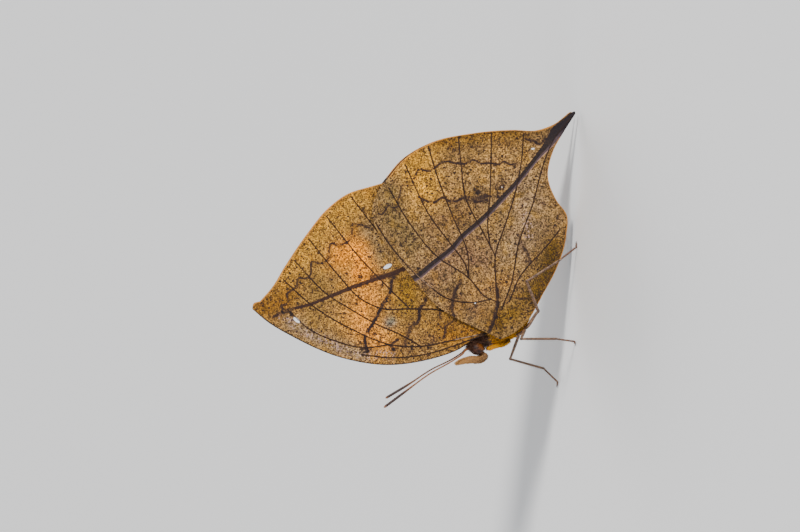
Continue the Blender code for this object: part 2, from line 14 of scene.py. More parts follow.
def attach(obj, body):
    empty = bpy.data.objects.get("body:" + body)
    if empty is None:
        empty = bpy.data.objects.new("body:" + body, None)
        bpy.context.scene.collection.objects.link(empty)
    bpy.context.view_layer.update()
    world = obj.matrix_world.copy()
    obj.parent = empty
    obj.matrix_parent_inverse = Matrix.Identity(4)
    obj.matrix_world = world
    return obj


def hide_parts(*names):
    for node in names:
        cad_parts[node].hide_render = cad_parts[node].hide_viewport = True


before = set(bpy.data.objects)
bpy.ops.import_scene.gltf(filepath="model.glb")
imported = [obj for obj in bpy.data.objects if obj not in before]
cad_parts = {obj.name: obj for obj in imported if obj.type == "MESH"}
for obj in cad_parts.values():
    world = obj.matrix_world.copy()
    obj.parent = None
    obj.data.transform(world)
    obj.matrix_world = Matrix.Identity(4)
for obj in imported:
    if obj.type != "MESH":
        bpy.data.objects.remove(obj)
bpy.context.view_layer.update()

# Body skin
# The head, thorax and abdomen are one hard skin in life, jointed by soft folds at neck and waist.
# It is dark brown chitin, almost hidden by fur, and the abdomen shows the edges of its plates.

NECK = np.array([-16.3, 16.8])
SLOPE = math.radians(47.8)
TAILWARD = np.array([math.cos(SLOPE), -math.sin(SLOPE)])
BACKWARD = np.array([-TAILWARD[1], TAILWARD[0]])
THORAX_END = NECK + 9.5 * TAILWARD
ABDOMEN_END = np.array([1.9, 4.2])
SIDES = {"left": -1.0, "right": 1.0}

PLATES_FROM = 10.0
PLATES_TO = 22.0
PLATE_LENGTH = 1.55
SEAM_DEPTH = 0.07

# distance along the body from the neck, half width, height of the back, depth of the underside
BODY_SECTIONS = [
    (-3.72, 0.12, 0.12, 0.12), (-3.5, 0.62, 0.7, 0.7), (-3.0, 0.95, 1.15, 1.15), (-2.25, 1.1, 1.38, 1.38),
    (-1.5, 0.95, 1.15, 1.15), (-0.9, 0.75, 0.85, 0.85), (-0.4, 0.85, 0.95, 1.0), (0.5, 1.35, 1.5, 1.5),
    (1.6, 1.8, 2.1, 2.1), (3.0, 2.15, 2.4, 2.55), (5.0, 2.15, 2.45, 2.95), (7.0, 1.85, 2.15, 3.0),
    (8.4, 1.45, 1.65, 2.4), (9.3, 1.05, 1.15, 1.5), (10.3, 1.15, 1.15, 1.2), (12.0, 1.38, 1.38, 1.38),
    (14.5, 1.42, 1.42, 1.42), (17.5, 1.3, 1.3, 1.3), (20.5, 0.95, 0.95, 0.95), (22.2, 0.55, 0.55, 0.55),
    (22.75, 0.15, 0.15, 0.15),
]


def ease(t):
    """Rises smoothly from 0 to 1 as t goes from 0 to 1: three t squared less two t cubed."""
    t = np.clip(t, 0.0, 1.0)
    return t * t * (3.0 - 2.0 * t)


def smooth_line(points, count):
    """A cubic curve through the points, with the chord slopes at each, read at even places."""
    points = np.asarray(points, float)
    at = np.concatenate(([0.0], np.cumsum(np.linalg.norm(np.diff(points, axis=0), axis=1))))
    slope = np.gradient(points, at, axis=0)
    read = np.linspace(0.0, at[-1], count)
    i = np.clip(np.searchsorted(at, read, side="right") - 1, 0, len(at) - 2)
    span = (at[i + 1] - at[i])[:, None]
    t = (read - at[i])[:, None] / span
    start = (1 + 2 * t) * (1 - t) ** 2 * points[i] + t * (1 - t) ** 2 * span * slope[i]
    end = t * t * (3 - 2 * t) * points[i + 1] + t * t * (t - 1) * span * slope[i + 1]
    return start + end


def spaced_line(points, step):
    """The same curve, with its points about one step apart."""
    length = np.linalg.norm(np.diff(np.asarray(points, float), axis=0), axis=1).sum()
    return smooth_line(points, max(2, round(length / step) + 1))


def unit(vectors):
    """Vectors along the last axis brought to length 1."""
    return vectors / np.maximum(np.linalg.norm(vectors, axis=-1, keepdims=True), 1e-12)


def stand(places, side):
    """Points (x, side, z) from (x, z) places, each moved sideways out of the middle plane."""
    return np.stack([places[..., 0], np.broadcast_to(side, places.shape[:-1]), places[..., 1]], -1)


def round_turns(count):
    """Angles of so many even steps round a circle."""
    return np.arange(count) * 2 * math.pi / count


def grid_faces(rows, columns):
    """Four-cornered faces of a grid whose columns run round and join."""
    row, column = np.meshgrid(np.arange(rows - 1), np.arange(columns), indexing="ij")
    onward = (column + 1) % columns
    corners = [row * columns + column, row * columns + onward,
               (row + 1) * columns + onward, (row + 1) * columns + column]
    return np.stack(corners, -1).reshape(-1, 4)


def closed_tube(rings):
    """Vertices and faces of a skin over rows of rings, with a fan of triangles on each end."""
    rows, columns = rings.shape[:2]
    vertices = np.concatenate([rings.reshape(-1, 3), [rings[0].mean(0), rings[-1].mean(0)]])
    k = np.arange(columns)
    onward = (k + 1) % columns
    first, last = np.full(columns, rows * columns), np.full(columns, rows * columns + 1)
    top = (rows - 1) * columns
    fans = [np.column_stack([first, onward, k]), np.column_stack([last, top + k, top + onward])]
    return vertices, grid_faces(rows, columns).tolist() + np.concatenate(fans).tolist()


def new_piece(name, vertices, faces, finish, replaces=(), slot=None):
    """A smooth mesh object from millimetres, riding on the still body, with the faces as they are given."""
    mesh = bpy.data.meshes.new(name)
    mesh.from_pydata((np.asarray(vertices) * 0.001).tolist(), [], faces)
    mesh.materials.append(finish)
    mesh.shade_smooth()
    piece = bpy.data.objects.new(name, mesh)
    bpy.context.scene.collection.objects.link(piece)
    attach(piece, "root")
    if replaces:
        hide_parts(*replaces)
    return piece


def outwards(vertices, faces):
    """The faces turned over if the solid they close would have a negative volume."""
    corner = [vertices[[face[k] for face in faces]] for k in range(3)]
    volume = np.einsum("ij,ij->", corner[0], np.cross(corner[1], corner[2]))
    fourth = [face for face in faces if len(face) == 4]
    if fourth:
        corner = [vertices[[face[k] for face in fourth]] for k in (0, 2, 3)]
        volume += np.einsum("ij,ij->", corner[0], np.cross(corner[1], corner[2]))
    return faces if volume > 0 else [face[::-1] for face in faces]


def ring_piece(name, rings, finish, **facts):
    """A piece whose skin runs over rows of rings and is closed at both ends."""
    vertices, faces = closed_tube(rings)
    return new_piece(name, vertices, outwards(vertices, faces), finish, **facts)


def write_attribute(piece, name, values):
    """A number or a colour for every vertex, which the finish reads by its name."""
    values = np.asarray(values, np.float32)
    kind = "FLOAT" if values.ndim == 1 else "FLOAT_COLOR"
    made = piece.data.attributes.new(name, kind, "POINT")
    if kind == "FLOAT":
        made.data.foreach_set("value", values)
    else:
        full = np.column_stack([values, np.ones(len(values))])
        made.data.foreach_set("color", full.astype(np.float32).ravel())


# how the default view mixes the three channels, the terms of its tone curve and its range in stops,
# and how brightly the lamps light a surface that faces them
VIEW_MIX = np.array([[0.8425, 0.0784, 0.0792], [0.0423, 0.8785, 0.0792], [0.0424, 0.0784, 0.8791]])
VIEW_CURVE = [15.5, -40.14, 31.96, -6.868, 0.4298, 0.1191, -0.00232]
VIEW_STOPS = (-12.474, 4.026)
LAMP_LIGHT = 1.25


def screen(colour):
    """The base colour that shows as a screen colour under the lamps: the view's curve undone."""
    level = np.linspace(0.0, 1.0, 2000)
    level = np.interp(np.asarray(colour, float) @ VIEW_MIX.T, np.polyval(VIEW_CURVE, level), level)
    light = 2.0 ** (VIEW_STOPS[0] + level * (VIEW_STOPS[1] - VIEW_STOPS[0]))
    return np.clip(light @ np.linalg.inv(VIEW_MIX).T / LAMP_LIGHT, 0.002, 0.95)


class Dye:
    """A value in a finish. Sums and products of dyes add Math nodes, and make adds any other node."""

    def __init__(self, tree, socket=None):
        self.tree = tree
        self.socket = socket

    def make(self, kind, inputs=(), output=0, **settings):
        """Adds a node: its settings first, then a value or a link for each socket."""
        node = self.tree.nodes.new(kind)
        for name, value in settings.items():
            setattr(node, name, value)
        for name, value in dict(inputs).items():
            if isinstance(value, Dye):
                self.tree.links.new(value.socket, node.inputs[name])
            else:
                node.inputs[name].default_value = value
        return Dye(self.tree, node.outputs[output])

    def maths(self, operation, first, second):
        """One Math node on two values."""
        return self.make("ShaderNodeMath", {0: first, 1: second}, operation=operation)

    def __add__(self, other):
        return self.maths("ADD", self, other)

    def __radd__(self, other):
        return self.maths("ADD", other, self)

    def __sub__(self, other):
        return self.maths("SUBTRACT", self, other)

    def __rsub__(self, other):
        return self.maths("SUBTRACT", other, self)

    def __mul__(self, other):
        return self.maths("MULTIPLY", self, other)

    def __rmul__(self, other):
        return self.maths("MULTIPLY", other, self)

    def between(self, low, high, start=0.0, end=1.0):
        """Goes smoothly from start to end while this value goes from low to high."""
        sockets = {"Value": self, "From Min": low, "From Max": high, "To Min": start, "To Max": end}
        return self.make("ShaderNodeMapRange", sockets, interpolation_type="SMOOTHSTEP")

    def tint(self, colour, other):
        """The first colour where this mask is 0 and the other where it is 1."""
        values = [v if isinstance(v, Dye) else (*v, 1.0) for v in (colour, other)]
        return self.make("ShaderNodeMix", {0: self, 6: values[0], 7: values[1]}, output=2,
                         data_type="RGBA", clamp_factor=True)

    def shade(self, colour):
        """A colour made darker or lighter by this number."""
        return self.make("ShaderNodeVectorMath", {0: colour, "Scale": self}, operation="SCALE")

    def stain(self, colour):
        """This colour multiplied channel by channel, as a dye laid over it does."""
        return self.make("ShaderNodeVectorMath", {0: self, 1: colour}, operation="MULTIPLY")

    def attribute(self, name, output=2):
        """What write_attribute stored: output 2 is the number and 0 the colour."""
        return self.make("ShaderNodeAttribute", output=output, attribute_name=name)

    def millimetres(self):
        """Place on the piece in its own coordinates, in millimetres."""
        place = self.make("ShaderNodeTexCoord", output=3)
        return self.make("ShaderNodeVectorMath", {0: place, "Scale": 1000.0}, operation="SCALE")

    def noise(self, place, size, detail=3.0, roughness=0.55):
        """Cloudy noise from 0 to 1 whose lumps are about size millimetres across."""
        return self.make("ShaderNodeTexNoise", {"Vector": place, "Scale": 1.0 / size, "Detail": detail,
                                                "Roughness": roughness})

    def cells(self, place, size, output=0):
        """Voronoi cells of about size millimetres: output 0 is the distance to a centre, 1 a colour."""
        return self.make("ShaderNodeTexVoronoi", {"Vector": place, "Scale": 1.0 / size}, output=output)


def new_finish(name, roughness, **constants):
    """A material with one Principled shader. Returns it, its shader node and a Dye to build with."""
    finish = bpy.data.materials.new(name)
    finish.use_nodes = True
    shader = finish.node_tree.nodes["Principled BSDF"]
    shader.inputs["Roughness"].default_value = roughness
    for socket, value in constants.items():
        shader.inputs[socket.replace("_", " ")].default_value = value
    return finish, shader, Dye(finish.node_tree)


def bump(dye, shader, height, depth_mm, strength=1.0):
    """Relief of about depth_mm where height goes from 0 to 1."""
    sockets = {"Height": height, "Distance": depth_mm * 0.001, "Strength": strength}
    relief = dye.make("ShaderNodeBump", sockets)
    dye.tree.links.new(relief.socket, shader.inputs["Normal"])


def paint(dye, shader, colour, socket="Base Color"):
    """Links a colour or a number to the shader."""
    dye.tree.links.new(colour.socket, shader.inputs[socket])


def body_line(count):
    """Middle line of the body as (x, z): straight through head and thorax, bent down at the waist."""
    middle = THORAX_END * 0.45 + ABDOMEN_END * 0.55 + np.array([0.0, -0.35])
    front = [NECK + s * TAILWARD for s in (-3.72, -1.0, 1.5, 4.5, 7.0)]
    return smooth_line([*front, THORAX_END - 0.6 * TAILWARD, middle, ABDOMEN_END], count)


def body_section(along):
    """Half width, back height and underside depth at a distance along the body."""
    table = smooth_line(BODY_SECTIONS, 600)
    return [np.interp(along, table[:, 0], table[:, k]) for k in (1, 2, 3)]


BODY_ROWS = 300
BODY_LINE = body_line(BODY_ROWS)
BODY_ALONG = np.linspace(BODY_SECTIONS[0][0], BODY_SECTIONS[-1][0], BODY_ROWS)


def body_surface(along, turn, lift=0.0):
    """Points, outward and tailward directions on the body: turn is 0 at the back, half a circle below.

    Each section is two half ellipses, one for the back and one for the underside.
    """
    def line_at(place):
        """The middle line's (x, z) at distances along the body."""
        return np.column_stack([np.interp(place, BODY_ALONG, BODY_LINE[:, k]) for k in (0, 1)])

    forward = unit(line_at(along + 0.2) - line_at(along - 0.2))
    back_direction = np.column_stack([-forward[:, 1], forward[:, 0]])
    half_width, back, underside = body_section(along)
    depth = np.where(np.cos(turn) > 0, back, underside)
    height = depth * np.cos(turn)
    side = half_width * np.sin(turn)
    normal_height = np.cos(turn) / np.maximum(depth, 0.05)
    normal_side = np.sin(turn) / np.maximum(half_width, 0.05)
    points = stand(line_at(along) + back_direction * height[:, None], side)
    outward = unit(stand(back_direction * normal_height[:, None], normal_side))
    return points + outward * lift, outward, stand(forward, 0.0)


def skin_finish():
    """Dark brown chitin with a pale line at each plate's edge and fine dimples."""
    finish, shader, dye = new_finish("body_chitin", 0.55)
    place = dye.millimetres()
    cloud = dye.noise(place, 0.8)
    brown = cloud.between(0.3, 0.7).tint(screen((0.24, 0.16, 0.11)), screen((0.38, 0.26, 0.16)))
    paint(dye, shader, dye.attribute("seam").tint(brown, screen((0.55, 0.42, 0.27))))
    bump(dye, shader, dye.cells(place, 0.09), 0.02)
    return finish


def make_body():
    """The body's surface from mouth to tail end, sunk at the seams between the abdomen's plates."""
    along, turn = np.meshgrid(BODY_ALONG, round_turns(96), indexing="ij")
    plate = 0.5 + 0.5 * np.cos((along - PLATES_FROM) / PLATE_LENGTH * 2 * math.pi)
    seam = plate ** 10 * ease((along - PLATES_FROM) / 0.8) * ease((PLATES_TO - along) / 0.8)
    points, outward, _ = body_surface(along.ravel(), turn.ravel())
    points = points - outward * (SEAM_DEPTH * seam.ravel())[:, None]
    piece = ring_piece("body_skin", points.reshape(*along.shape, 3), skin_finish(),
                       replaces=("head", "thorax", "abdomen"), slot="body_fur")
    write_attribute(piece, "seam", np.concatenate([seam.ravel(), [0.0, 0.0]]))


make_body()

# Coat
# Head and body wear dense hair-like scales, gold brown on the thorax and dark brown on the head.
# Each grows from a socket in the skin, lies along the body and ends in a point.

BAKE_PATCH = 0.003
FULL_TURN = (0.0, 2 * math.pi)
BELLY_TURN = (math.pi * 0.62, math.pi * 1.38)


def tuft_mesh(roots, lie, outward, length, width, lift, patches):
    """Many three-sided tapering tufts as one mesh, with each tuft's patch on the OFBake map.

    A tuft runs from its root along lie, rising by lift times its length, with its middle bowed
    outwards. Returns vertices, faces and the map's place for each vertex.
    """
    count = len(roots)
    sizes = (length, width, lift)
    length, width, lift = (np.broadcast_to(np.asarray(v, float), count)[:, None] for v in sizes)
    across = unit(np.cross(lie, outward))
    stations = [(0.0, -0.12, 1.0), (0.45, 0.75, 0.85), (1.0, 1.0, 0.0)]
    vertices = []
    for reach, rise, girth in stations:
        middle = roots + lie * length * reach + outward * length * lift * rise
        if girth == 0.0:
            vertices.append(middle)
        else:
            vertices += [middle + across * width * girth * 0.5, middle - across * width * girth * 0.5,
                         middle + outward * width * girth * 0.35]
    order = np.array([(0, 3, 4, 1), (1, 4, 5, 2), (2, 5, 3, 0)])
    tips = np.array([(3, 6, 4), (4, 6, 5), (5, 6, 3)])
    base = (np.arange(count) * 7)[:, None, None]
    faces = (order + base).reshape(-1, 4).tolist() + (tips + base).reshape(-1, 3).tolist()
    faces += (np.array([(0, 1, 2)]) + base).reshape(-1, 3).tolist()
    local = np.array([(0, 0), (1, 0), (0.5, 0.2), (0, 0.5), (1, 0.5), (0.5, 0.6), (0.5, 1)]) * BAKE_PATCH
    mapped = patches[:, None, :] * 0.99 + local
    return np.stack(vertices, 1).reshape(-1, 3), faces, mapped.reshape(-1, 2)


def make_coat(name, finish, seed, roots, lie, outward, length, width, lift, patches, slot):
    """One coat piece: its mesh, its OFBake map and a random shade for each tuft."""
    vertices, faces, mapped = tuft_mesh(roots, lie, outward, length, width, lift, patches)
    vertices[:, 2] = np.maximum(vertices[:, 2], 0.0)
    piece = new_piece(name, vertices, faces, finish, slot=slot)
    corner = np.zeros(len(piece.data.loops), np.int32)
    piece.data.loops.foreach_get("vertex_index", corner)
    layer = piece.data.uv_layers.new(name="OFBake")
    layer.data.foreach_set("uv", mapped[corner].astype(np.float32).ravel())
    draw = np.random.default_rng(seed)
    write_attribute(piece, "shade", np.repeat(draw.random(len(roots)), 7))
    write_attribute(piece, "tip", np.tile([0, 0, 0, 0.45, 0.45, 0.45, 1.0], len(roots)))


def coat_finish(name, dark, light, tip, speckled=0.0):
    """Hair between two browns, a shade to each tuft, lighter at its tip, with some dark tufts."""
    finish, shader, dye = new_finish(name, 0.75, Specular_IOR_Level=0.25)
    shade = dye.attribute("shade")
    patch = dye.noise(dye.millimetres(), 0.45, 2.0)
    hair = shade.tint(screen(dark), screen(light))
    tipped = (dye.attribute("tip") * 0.7).tint(hair, screen(tip))
    speck = (shade + (patch - 0.5) * 1.4).between(0.12, 0.3, speckled, 0.0)
    paint(dye, shader, speck.tint(tipped, screen((0.25, 0.16, 0.12))))
    return finish


def body_coat(name, finish, seed, first, last, count, turns, length, width, lift, forward=1.0, splay=0.25):
    """Tufts spread over a stretch of the body, more of them where it is wide."""
    draw = np.random.default_rng(seed)
    along = draw.uniform(first, last, count * 2)
    along = along[draw.random(len(along)) < body_section(along)[0] / 2.2][:count]
    turn = draw.uniform(*turns, len(along))
    roots, outward, tailward = body_surface(along, turn)
    side = unit(np.cross(tailward, outward))
    lie = unit(tailward * forward + side * draw.normal(0, splay, (len(along), 1)))
    size = length * draw.uniform(0.7, 1.25, len(along))
    girth = width * draw.uniform(0.8, 1.2, len(along))
    patches = np.column_stack([(along - BODY_ALONG[0]) / np.ptp(BODY_ALONG), (turn / (2 * math.pi)) % 1.0])
    raised = lift * draw.uniform(0.6, 1.4, len(along))
    make_coat(name, finish, seed, roots, lie, outward, size, girth, raised, patches, "body_fur")


GOLD_FUR = coat_finish("thorax_hair", (0.62, 0.46, 0.18), (0.88, 0.69, 0.28), (0.90, 0.73, 0.34), 0.8)
HEAD_FUR = coat_finish("head_hair", (0.20, 0.13, 0.13), (0.38, 0.25, 0.19), (0.50, 0.34, 0.24))
ABDOMEN_FUR = coat_finish("abdomen_hair", (0.27, 0.18, 0.11), (0.46, 0.33, 0.20), (0.62, 0.48, 0.30))

body_coat("thorax_hair_short", GOLD_FUR, 11, -0.3, 9.6, 9000, FULL_TURN, 0.75, 0.085, 0.22)
body_coat("thorax_hair_long", GOLD_FUR, 12, 0.2, 9.0, 2600, BELLY_TURN, 1.25, 0.09, 0.3)
body_coat("abdomen_hair", ABDOMEN_FUR, 13, 9.4, 22.6, 7000, FULL_TURN, 0.6, 0.08, 0.16)
body_coat("head_hair_back", HEAD_FUR, 14, -3.4, -0.2, 1800, FULL_TURN, 0.4, 0.07, 0.4)
body_coat("head_hair_crest", HEAD_FUR, 15, -3.5, -1.6, 1200, (-1.1, 1.1), 0.8, 0.075, 0.9, forward=-0.7)
# dark hair at the neck, whose darkness is also painted shade under the forewing's leading edge
body_coat("neck_ruff_hair_and_shade", HEAD_FUR, 16, -1.7, 0.9, 3600, (-1.25, 1.25), 1.0, 0.085, 1.1, forward=-0.35)

# Eyes
# Each eye is a dome of thousands of tiny lenses, amber to red brown with darker cloudy marks.
# It sits in a ring of skin on the flat side of the head.

HEAD_FROM_NECK = 2.25
EYE_RADIUS = 1.28
EYE_HEIGHT = 0.98
EYE_SEAT = 1.3
EYE_SUNK = 0.28


def eye_finish():
    """Amber to red brown under dark clouds, each lens darker at its rim."""
    finish, shader, dye = new_finish("eye_lenses", 0.5, Specular_IOR_Level=0.28)
    place = dye.millimetres()
    cloud = dye.noise(place, 0.55, detail=2.0)
    lens = dye.cells(place, 0.075)
    amber = dye.attribute("behind").tint(screen((0.42, 0.26, 0.18)), screen((0.64, 0.41, 0.15)))
    brown = cloud.between(0.42, 0.6).tint(amber, amber.stain((0.30, 0.24, 0.26)))
    paint(dye, shader, lens.between(0.35, 0.75).tint(brown, brown.stain((0.35, 0.3, 0.35))))
    bump(dye, shader, 1.0 - lens, 0.02)
    return finish


def make_eyes():
    """Half an ellipsoid on each side: rings shrink by the cosine of the rise and stand out by its sine."""
    finish = eye_finish()
    rise = np.linspace(0.0, math.pi / 2 * 0.985, 28)[:, None]
    turn = round_turns(72)
    along = -HEAD_FROM_NECK - 0.1 + EYE_RADIUS * np.cos(rise) * np.cos(turn)
    back = EYE_RADIUS * np.cos(rise) * np.sin(turn)
    for word, sign in SIDES.items():
        out = sign * (EYE_SEAT - EYE_SUNK + (EYE_HEIGHT + EYE_SUNK) * np.sin(rise))
        rings = stand(NECK + along[..., None] * TAILWARD + back[..., None] * BACKWARD, out)
        piece = ring_piece(f"eye_{word}_lenses", rings, finish, replaces=(f"eye_{word}",), slot="eye")
        behind = ease((along + HEAD_FROM_NECK) / EYE_RADIUS + 0.35).ravel()
        write_attribute(piece, "behind", np.concatenate([behind, [0.35, 0.35]]))


make_eyes()

# Palps
# Two scaly feelers of the mouth, held forward side by side like a short beak, tan above and
# darker near the root below with painted shade. Each is a bent tube of chitin under overlapping scales.

PALP_DEPTH = 1.5
PALP_WIDTH = 1.0
PALP_SCALES_DEPTH = 0.07


def body_point(along, back, side):
    """A point in the body's own directions from the neck."""
    return stand(NECK + along * TAILWARD + back * BACKWARD, side)


def tube_frames(path):
    """Forward and two crosswise directions along a path, turned as little as possible."""
    forward = unit(np.gradient(path, axis=0))
    across = np.cross(forward[0], (0.0, 0.0, 1.0))
    if np.linalg.norm(across) < 0.2:
        across = np.cross(forward[0], (0.0, 1.0, 0.0))
    made = []
    for direction in forward:
        across = unit(across - direction * (across @ direction))
        made.append(across)
    across = np.array(made)
    return forward, across, np.cross(forward, across)


def tube_rings(path, radii, columns, flatten=1.0):
    """Rings round a path: centre plus radius times the cosine and sine of the turn, crosswise."""
    _, across, other = tube_frames(path)
    turn = round_turns(columns)
    radii = np.asarray(radii)[:, None, None]
    wide = across[:, None, :] * np.cos(turn)[None, :, None] * flatten
    return path[:, None, :] + radii * (wide + other[:, None, :] * np.sin(turn)[None, :, None])


def tube_coat(name, finish, seed, path, radii, count, length, width, lift, slot, flatten=1.0,
              span=(0.03, 0.97)):
    """Tufts all over a tube, lying towards its end."""
    draw = np.random.default_rng(seed)
    forward, across, other = tube_frames(path)
    at = draw.uniform(*span, count) * (len(path) - 1)
    low = at.astype(int)
    part = (at - low)[:, None]
    turn = draw.uniform(0, 2 * math.pi, count)[:, None]
    mixed = [v[low] * (1 - part) + v[low + 1] * part for v in (path, forward, across, other)]
    radius = np.interp(at, np.arange(len(path)), radii)[:, None]
    spread = mixed[2] * np.cos(turn) * flatten + mixed[3] * np.sin(turn)
    outward = unit(mixed[2] * np.cos(turn) + mixed[3] * np.sin(turn) * flatten)
    lie = unit(mixed[1] + np.cross(mixed[1], outward) * draw.normal(0, 0.2, (count, 1)))
    size = length * draw.uniform(0.7, 1.2, count)
    patches = np.column_stack([at / (len(path) - 1), turn[:, 0] / (2 * math.pi)])
    raised = lift * draw.uniform(0.6, 1.4, count)
    make_coat(name, finish, seed, mixed[0] + spread * radius * 0.97, lie, outward, size,
              width * draw.uniform(0.8, 1.2, count), raised, patches, slot)


def make_palps():
    """Two bent flattened tubes, thickest near the root, with scales all over."""
    finish, shader, dye = new_finish("palp_scaling", 0.75)
    place = dye.millimetres()
    cloud = dye.noise(place, 0.5)
    tan = cloud.between(0.3, 0.7).tint(screen((0.54, 0.41, 0.27)), screen((0.72, 0.58, 0.42)))
    # painted shade: the under attribute darkens the palp's underside near its root
    paint(dye, shader, (dye.attribute("under") * 0.85).tint(tan, screen((0.20, 0.12, 0.10))))
    bump(dye, shader, dye.cells(place, 0.1), 0.03)
    scales = coat_finish("palp_scales", (0.54, 0.43, 0.29), (0.76, 0.63, 0.45), (0.80, 0.69, 0.51), 0.6)
    for word, sign in SIDES.items():
        route = [body_point(-2.1, -1.35, sign * 0.9), body_point(-2.2, -2.15, sign * 1.0),
                 body_point(-3.2, -2.1, sign * 1.0), body_point(-4.7, -1.0, sign * 0.95),
                 body_point(-6.25, -0.15, sign * 0.8), body_point(-7.65, 0.4, sign * 0.6)]
        path = smooth_line(route, 60)
        along = np.linspace(0.0, 1.0, len(path))
        stations = [0, 0.12, 0.25, 0.55, 0.8, 0.95, 1]
        shape = np.interp(along, stations, [0.5, 0.96, 1.06, 0.98, 0.66, 0.36, 0.12])
        radii = (PALP_DEPTH / 2 - PALP_SCALES_DEPTH) * shape
        rings = tube_rings(path, radii, 28, PALP_WIDTH / PALP_DEPTH)
        piece = ring_piece(f"palp_{word}_skin", rings, finish, replaces=(f"palp_{word}",), slot="palp_scales")
        below = (rings - path[:, None, :]) @ np.array([-BACKWARD[0], 0.0, -BACKWARD[1]])
        # painted shade: darker on the underside near the root, where the palp meets the head
        under = ease(below / np.maximum(radii[:, None], 0.05) * 1.4) * ease(1.3 - 1.6 * along)[:, None]
        write_attribute(piece, "under", np.concatenate([under.ravel(), [0.0, 0.0]]))
        tube_coat(f"palp_{word}_scales", scales, 21 + int(sign), path, radii, 1500, 0.42, 0.075, 0.22,
                  "palp_scales", PALP_WIDTH / PALP_DEPTH)


make_palps()

# Proboscis
# The sucking tube is two half pipes of dark horn zipped together, ringed all along,
# and rolled up like a watch spring between the palps.

COIL_MIDDLE = (-4.2, -1.8)
COIL_TURNS = 1.75
COIL_REACH = (0.6, 0.12)
COIL_START = 0.9


def make_proboscis():
    """A spiral whose reach shrinks evenly with its turn, as a ringed tapering tube."""
    finish, shader, dye = new_finish("proboscis_horn", 0.35)
    cloud = dye.noise(dye.millimetres(), 0.15)
    paint(dye, shader, cloud.tint(screen((0.16, 0.09, 0.06)), screen((0.34, 0.20, 0.11))))
    turn = np.linspace(0.0, COIL_TURNS * 2 * math.pi, 260)
    reach = np.linspace(*COIL_REACH, len(turn))
    along = COIL_MIDDLE[0] + reach * np.cos(turn + COIL_START)
    back = COIL_MIDDLE[1] + reach * np.sin(turn + COIL_START)
    path = body_point(along[:, None], back[:, None], 0.0)
    radii = np.linspace(0.15, 0.07, len(path)) * (1.0 + 0.07 * np.sin(np.arange(len(path)) * 1.3))
    ring_piece("proboscis_coil", tube_rings(path, radii, 14), finish, replaces=("proboscis",), slot="horn")


make_proboscis()

# Antennae
# Thin feelers of about forty ringed joints each, orange brown, swelling slowly into a dark
# club with a pale tip. They turn in small sockets on top of the head.

ANTENNA_ROUTES = {
    "left": [(-19.1, -1.4, 21.6), (-20.3, -1.7, 23.3), (-23.4, -2.6, 28.5), (-26.8, -3.4, 33.0),
             (-30.3, -4.0, 37.5)],
    "right": [(-19.0, 1.4, 21.4), (-20.1, 1.7, 22.9), (-22.6, 2.4, 27.3), (-25.6, 3.1, 31.4),
              (-28.7, 4.0, 36.0)],
}
ANTENNA_JOINTS = 42
ANTENNA_RADIUS = 0.155
CLUB_SWELL = 0.12
ANTENNA_COLUMNS = 16


def pad_poles(values):
    """Values for the points of a piece's rings, with those of its two closing points added."""
    return np.concatenate([values, values[:1], values[-1:]])


def make_antennae():
    """Ringed tubes: a bell-shaped base, an even shaft, a slow swelling and a rounded tip."""
    finish, shader, dye = new_finish("antenna_horn", 0.5)
    place = dye.millimetres()
    cloud = dye.noise(place, 0.3)
    club, tip = dye.attribute("club"), dye.attribute("tip")
    shaft = cloud.between(0.3, 0.7).tint(screen((0.55, 0.35, 0.18)), screen((0.70, 0.49, 0.28)))
    ringed = (dye.attribute("ring") * 0.5).tint(shaft, screen((0.28, 0.16, 0.09)))
    dark = club.tint(ringed, screen((0.27, 0.13, 0.09)))
    paint(dye, shader, tip.tint(dark, screen((0.62, 0.42, 0.26))))
    bump(dye, shader, dye.cells(place, 0.06), 0.012)
    for word, sign in SIDES.items():
        out = unit(stand(-0.9 * TAILWARD + 0.6 * BACKWARD, 0.0))
        root = body_point(-HEAD_FROM_NECK, 0.0, sign * 0.55) + out * 1.2
        route = [root, root + out * 0.95, *map(np.array, ANTENNA_ROUTES[word])]
        path = smooth_line(route, 420)
        along = np.linspace(0.0, 1.0, len(path))
        swell = ease((along - 0.58) / 0.27)
        ring = 0.5 + 0.5 * np.cos(along * ANTENNA_JOINTS * 2 * math.pi)
        base = 0.08 * np.exp(-((along - 0.05) / 0.018) ** 2)
        radii = (ANTENNA_RADIUS + CLUB_SWELL * swell + base) * (1.0 - 0.09 * ring ** 4)
        radii = radii * np.sqrt(np.clip((1.0 - along) / 0.02, 0.0, 1.0) * 0.95 + 0.05)
        piece = ring_piece(f"antenna_{word}_horn", tube_rings(path, radii, ANTENNA_COLUMNS), finish,
                           replaces=(f"antenna_{word}",), slot="antenna_horn")
        for name, values in (("ring", ring ** 4), ("club", ease((along - 0.62) / 0.2)),
                             ("tip", ease((along - 0.965) / 0.03))):
            write_attribute(piece, name, pad_poles(np.repeat(values, ANTENNA_COLUMNS)))


make_antennae()

# Walking legs
# The middle and hind legs carry the animal: a thick thigh, a thin spiny shin and a foot of
# five joints with two claws, all brown horn under fine pale scales.

WALKING_LEGS = {
    # place on the thorax, then hip, knee, ankle, foot and the direction of the toe
    "midleg_left": (5.8, (-13.9, -2.5, 9.4), (-15.5, -8.0, 11.1), (-15.2, -8.6, 4.2), (-15.6, -7.6),
                    (-0.5, -0.8)),
    "midleg_right": (5.2, (-15.2, 2.4, 9.7), (-19.9, 6.6, 10.4), (-21.6, 8.2, 3.1), (-24.2, 7.9),
                     (-0.9, 0.3)),
    "hindleg_left": (7.7, (-9.9, -3.35, 6.95), (-4.0, -6.5, 10.2), (0.3, -6.6, 3.9), (3.2, -5.4), (0.9, 0.2)),
    "hindleg_right": (7.7, (-9.9, 3.35, 6.95), (-3.4, 6.9, 9.4), (2.0, 7.2, 3.9), (5.4, 7.0), (0.9, 0.1)),
}
FEMUR_RADIUS = 0.32
TIBIA_RADIUS = 0.24
TARSUS_RADIUS = 0.18
TOE_LENGTH = 1.0
